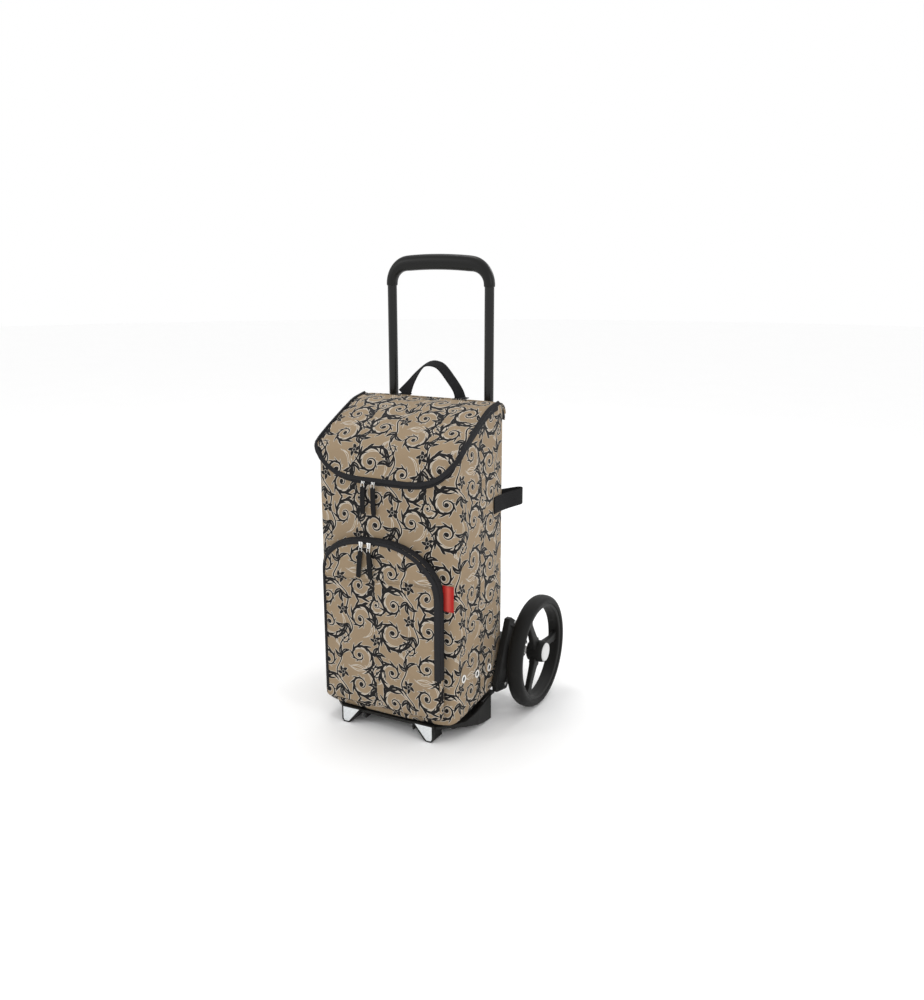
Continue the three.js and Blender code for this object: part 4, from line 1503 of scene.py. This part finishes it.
class TROLLEY_OT_sliders(bpy.types.Operator):
    """Zip sliders with their bridges, and the pull tabs that hang from them"""

    bl_idname = "trolley.sliders"
    bl_label = "Sliders and Pulls"

    def execute(self, context):
        for kind, body, splay in (("main", "bag", 0.25), ("pocket", "pocket", 1)):
            for name, lean in (("left", -0.10), ("right", 0.06)):
                self.slider(kind, name, body)
                self.pull(kind, name, lean * splay)
        return {"FINISHED"}

    def slider(self, kind, name, body):
        """A shouldered body, narrower below, and a bridge over it."""
        node = f"{kind}_slider_{name}"
        centre = middle_mm(node)
        bm = bmesh.new()
        bmesh.ops.create_cube(bm, size=1)
        bmesh.ops.subdivide_edges(bm, edges=bm.edges, cuts=2, use_grid_fill=True)
        for vert in bm.verts:
            share = vert.co.z + 0.5
            width = 7.4 + 3.6 * share
            point = Vector((vert.co.x * width, vert.co.y * 4.4, vert.co.z * 13.5))
            vert.co = (centre + Vector((0, -0.2, 0)) + point) * MM
        bmesh.ops.bevel(
            bm, geom=[e for e in bm.edges if len(e.link_faces) == 2 and e.calc_face_angle() > 0.8],
            offset=1.1 * MM, segments=3, profile=0.5, affect="EDGES", material=-1, clamp_overlap=True,
        )
        line = [centre + Vector((0, y, z)) for y, z in ((-2, 5), (-4.4, 3.4), (-4.9, -0.5), (-2.2, -4.6))]
        merged(bm, swept(ring(3.4, 1.5, 0.7, sides=10), frames(smooth_line(line, 20), (0, -1, 0.2))))
        sharpened(add_piece(f"{kind}_slider_body_{name}", bm, body, "zip_metal", [node]), 50)

    def pull(self, kind, name, lean):
        """Doubled tape with a rounded end, held by a small metal loop."""
        node = f"{kind}_pull_{name}"
        low, high = box_mm(node)
        centre = middle_mm(node)
        length = high.z - low.z
        body = f"{kind}_tab_{name}"
        line = []
        for i in range(25):
            share = i / 24
            sway = -1.3 * math.sin(math.pi * share) + 0.5
            z = high.z - 9 - (length - 9) * share
            line.append(Vector((centre.x + lean * length * share, centre.y + sway, z)))

        def taper(v):
            end = min(v / 0.03, (1 - v) / 0.05, 1)
            return 0.72 + 0.28 * math.sqrt(max(end, 0)), 1 - 0.35 * (1 - end)

        path = frames(line, FORWARDS)
        tape = swept(ring(12, 2.6, 0.55, sides=14), path, taper)
        add_piece(f"{kind}_pull_tape_{name}", tape, body, "black_webbing", [node])
        loop = [(centre.x + x, centre.y - 0.1, high.z + z) for x, z in (
            (-3.6, -11), (-3.5, -5), (-2.4, -1.6), (0, -0.6), (2.4, -1.6), (3.5, -5), (3.6, -11),
        )]
        wire = swept(ring(1.5, 1.5, sides=8), frames(smooth_line(loop, 30), FORWARDS))
        add_piece(f"{kind}_pull_loop_{name}", wire, body, "zip_metal")
        rows = rows_beside(path[2:-2], (-4.4, 4.4), 1.15)
        stitches(f"{kind}_pull_stitches_{name}", body, rows, 3.0, "black_webbing")


STRAP_STEPS = 90
STRAP_WIDTH = 33  # of the carry strap


class TROLLEY_OT_straps(bpy.types.Operator):
    """Carry strap on the roof and a webbing loop on each side"""

    bl_idname = "trolley.straps"
    bl_label = "Straps and Loops"

    def execute(self, context):
        self.carry_strap()
        for name, side in SIDES:
            self.side_loop(name, side)
        return {"FINISHED"}

    def carry_strap(self):
        """Webbing arch whose left foot is turned flat to the front."""
        low, high = box_mm("carry_strap")
        y = (low.y + high.y) / 2
        points = [
            (low.x - 1, y - 2, low.z - 1), (low.x + 8, y - 1, 733), (low.x + 24, y, 757),
            (low.x + 45, y, 781), (-16, y, 791.5), (2, y, 793), (20, y, 786), (41, y, 763), (60, y, 738),
            (high.x - 1, y, low.z - 1),
        ]
        line = smooth_line(points, STRAP_STEPS)
        path = []
        for i, (point, across, out) in enumerate(frames(line, off_arch)):
            share = i / STRAP_STEPS
            twist = math.radians(80) * max(1 - share / 0.42, 0) ** 1.1
            twist += math.radians(20) * min(share / 0.5, 1)
            tangent = (line[min(i + 1, STRAP_STEPS)] - line[max(i - 1, 0)]).normalized()
            turn = Matrix.Rotation(twist, 3, tangent)
            path.append((point, turn @ across, turn @ out))

        def spread(v):
            return 0.86 + 0.3 * max(1 - v / 0.16, 0) + 0.1 * max((v - 0.9) / 0.1, 0), 1

        bm = swept(ring(STRAP_WIDTH, 2.6, 0.4, sides=20), path, spread)
        add_piece("carry_strap_webbing", bm, "bag", "black_webbing", ["carry_strap"])
        rows = rows_beside(path[4:-4], (-9.2, 9.2), 1.2)
        stitches("carry_strap_stitches", "bag", rows, 3.6, "black_webbing")
        patches = []
        for x in (low.x - 1, high.x + 1):
            foot = [Vector((x + dx, y, ROOF + lift)) for dx, lift in ((-13, 0.5), (0, 1.1), (13, 0.5))]
            patches.append(swept(ring(24, 2.2, 0.4, sides=16), frames(foot, Z_AXIS)))
        add_piece("carry_strap_feet", merged(*patches), "bag", "black_webbing")

    def side_loop(self, name, side):
        """Webbing that stands off the rear corner as a loop."""
        low, high = box_mm(f"side_loop_{name}")
        z = (low.z + high.z) / 2
        points = [
            (174.6, -26), (174.9, -6), (175.6, 14), (179.5, 42), (185.6, 68), (188.6, 84), (187, 93.5),
            (181, 96.5), (173, 90.5), (161, 68), (150, 49), (141, 38.4),
        ]
        line = smooth_line([(side * x, y, z) for x, y in points], STRAP_STEPS)
        middle = Vector((side * 160, 20, z))

        def outward(point, tangent):
            out = Vector((tangent.y, -tangent.x, 0))
            return out if out.dot(point - middle) > 0 else -out

        path = frames(line, outward)
        bm = swept(ring(high.z - low.z, 2.3, 0.35, sides=20), path)
        add_piece(f"side_loop_webbing_{name}", bm, "bag", "black_webbing", [f"side_loop_{name}"])
        rows = rows_beside(path[2:60], (-15.5, 15.5), 1.1)
        for start in (3, 14):
            p, a, o = path[start]
            rows.append([(p + a * t + o * 1.1, line[1] - line[0], o) for t in (-15, -5, 5, 15)])
        stitches(f"side_loop_stitches_{name}", "bag", rows, 3.4, "black_webbing")


EYELET_FLANGE = (
    (-2.2, 5.2), (-2.2, 6.0), (0.1, 8.8), (0.9, 9.1), (1.7, 8.5), (2.0, 7.2), (1.6, 5.9), (0.6, 5.2),
)


class TROLLEY_OT_trim(bpy.types.Operator):
    """Plain side label and the eyelets in the side panels"""

    bl_idname = "trolley.trim"
    bl_label = "Label and Eyelets"

    def execute(self, context):
        self.sizes = context.scene.trolley_bag
        self.label()
        for name, side in SIDES:
            self.eyelets(name, side)
        return {"FINISHED"}

    def label(self):
        low, high = box_mm("side_label")
        width, height = high.x - low.x + 2, high.z - low.z

        def place(u, v):
            bend = 1.6 * math.sin(math.pi * u) * (0.8 + 0.2 * math.sin(5 * v))
            return low.x - 1 + width * u, FRONT - 3.2 - bend - 1.5 * u, low.z + height * (0.08 + 0.88 * v)

        bm = surface(16, 30, place, lambda u, v: (width * u, height * v))
        add_wall(add_piece("side_label_woven", bm, "bag", "red_label", ["side_label"]), 1.2)
        rows = []
        for v in (0.04, 0.96):
            line = [Vector(place(u / 12, v)) for u in range(1, 12)]
            rows.append(frames(line, FORWARDS))
        stitches("side_label_stitches", "bag", rows, 3.0, "red_label")

    def eyelets(self, name, side):
        for i in range(1, 4):
            node = f"eyelet_{name}_{i}"
            centre = middle_mm(node)
            face = side_point(side, centre.y, centre.z, self.sizes)
            flange = turned(EYELET_FLANGE, face, 32, side)
            sharpened(add_piece(f"eyelet_ring_{name}_{i}", flange, "bag", "eyelet_white", [node]), 60)
            # A disc of dark lining fills each eyelet's hole: the lining inside the bag, and painted shade
            # for the hole's dark inside.
            shade = turned([(-1.2, 0.05), (-1.2, 5.5), (0.5, 5.5), (0.5, 0.05)], face, 24, side)
            add_piece(f"eyelet_hole_shade_{name}_{i}", shade, "bag", "eyelet_white", finishes=["lining"])


def facing(place, target):
    """The turn of a light or a camera at a place that points it at the target."""
    return (target - place).to_track_quat("-Z", "Y").to_euler()


class TROLLEY_OT_stage(bpy.types.Operator):
    """Pale floor, soft studio light and the camera"""

    bl_idname = "trolley.stage"
    bl_label = "Stage"

    def execute(self, context):
        settings = context.scene.trolley_stage
        self.floor(settings)
        self.lights(context.scene, settings)
        self.camera(context.scene, settings)
        context.scene.view_settings.view_transform = "Standard"
        return {"FINISHED"}

    def floor(self, settings):
        bm = bmesh.new()
        bmesh.ops.create_circle(bm, cap_ends=True, segments=96, radius=settings.floor)
        mesh = bpy.data.meshes.new("studio_floor")
        bm.to_mesh(mesh)
        bm.free()
        floor = bpy.data.objects.new("studio_floor", mesh)
        bpy.context.scene.collection.objects.link(floor)
        finish = Finish("studio_floor")
        grain = finish.noise(finish.place(), 3, 2)[0]
        colour = finish.mixed(grain, (0.97, 0.97, 0.97), (0.985, 0.985, 0.985))
        mesh.materials.append(finish.shader(Base_Color=colour, Roughness=0.9, Specular_IOR_Level=0.1))

    def lights(self, scene, settings):
        world = bpy.data.worlds.new("studio")
        scene.world = world
        world.use_nodes = True
        ambient = world.node_tree.nodes["Background"]
        ambient.inputs["Color"].default_value = (1, 1, 1, 1)
        ambient.inputs["Strength"].default_value = settings.sky
        for name, place, size, power in (
            ("top", (-0.5, 0.4, 3.0), 0.8, 12),
            ("front_left", (-2.6, -3.0, 2.2), 0.6, 16),
            ("right", (3.2, -1.2, 1.8), 0.4, 14),
            ("back", (0.8, 3.2, 2.2), 0.7, 12),
        ):
            data = bpy.data.lights.new(name, "AREA")
            data.shape = "SQUARE"
            data.size = size
            data.energy = power
            light = bpy.data.objects.new(name, data)
            light.location = place
            light.rotation_euler = facing(light.location, Vector((0, 0, 0.45)))
            scene.collection.objects.link(light)

    def camera(self, scene, settings):
        data = bpy.data.cameras.new("camera")
        data.lens = settings.lens
        data.sensor_width = 36
        data.clip_start, data.clip_end = 0.05, 100
        camera = bpy.data.objects.new("camera", data)
        camera.location = (1.0995, -1.9339, 1.0329)
        target = Vector((0.0607, 0.0405, 0.4837))
        camera.rotation_euler = facing(camera.location, target)
        scene.collection.objects.link(camera)
        scene.camera = camera


OPERATORS = (
    TROLLEY_OT_stage, TROLLEY_OT_handle, TROLLEY_OT_rack, TROLLEY_OT_rack_details, TROLLEY_OT_wheels,
    TROLLEY_OT_bag_body, TROLLEY_OT_lid, TROLLEY_OT_main_zip, TROLLEY_OT_pocket, TROLLEY_OT_sliders,
    TROLLEY_OT_straps, TROLLEY_OT_trim,
)


class TROLLEY_PT_panel(bpy.types.Panel):
    """Builders of the trolley's pieces"""

    bl_label = "Shopping Trolley"
    bl_idname = "TROLLEY_PT_panel"
    bl_space_type = "VIEW_3D"
    bl_region_type = "UI"
    bl_category = "Trolley"

    def draw(self, context):
        for operator in OPERATORS:
            self.layout.operator(operator.bl_idname)


GROUPS = (
    ("trolley_bag", TrolleyBagSizes),
    ("trolley_rack", TrolleyRackSizes),
    ("trolley_colours", TrolleyColours),
    ("trolley_stage", TrolleyStage),
)


def register():
    for name, group in GROUPS:
        bpy.utils.register_class(group)
        setattr(bpy.types.Scene, name, bpy.props.PointerProperty(type=group))
    for operator in OPERATORS:
        bpy.utils.register_class(operator)
    bpy.utils.register_class(TROLLEY_PT_panel)


def unregister():
    bpy.utils.unregister_class(TROLLEY_PT_panel)
    for operator in reversed(OPERATORS):
        bpy.utils.unregister_class(operator)
    for name, group in reversed(GROUPS):
        delattr(bpy.types.Scene, name)
        bpy.utils.unregister_class(group)


def main():
    register()
    for operator in OPERATORS:
        kind, name = operator.bl_idname.split(".")
        getattr(getattr(bpy.ops, kind), name)()


if __name__ == "__main__":
    main()
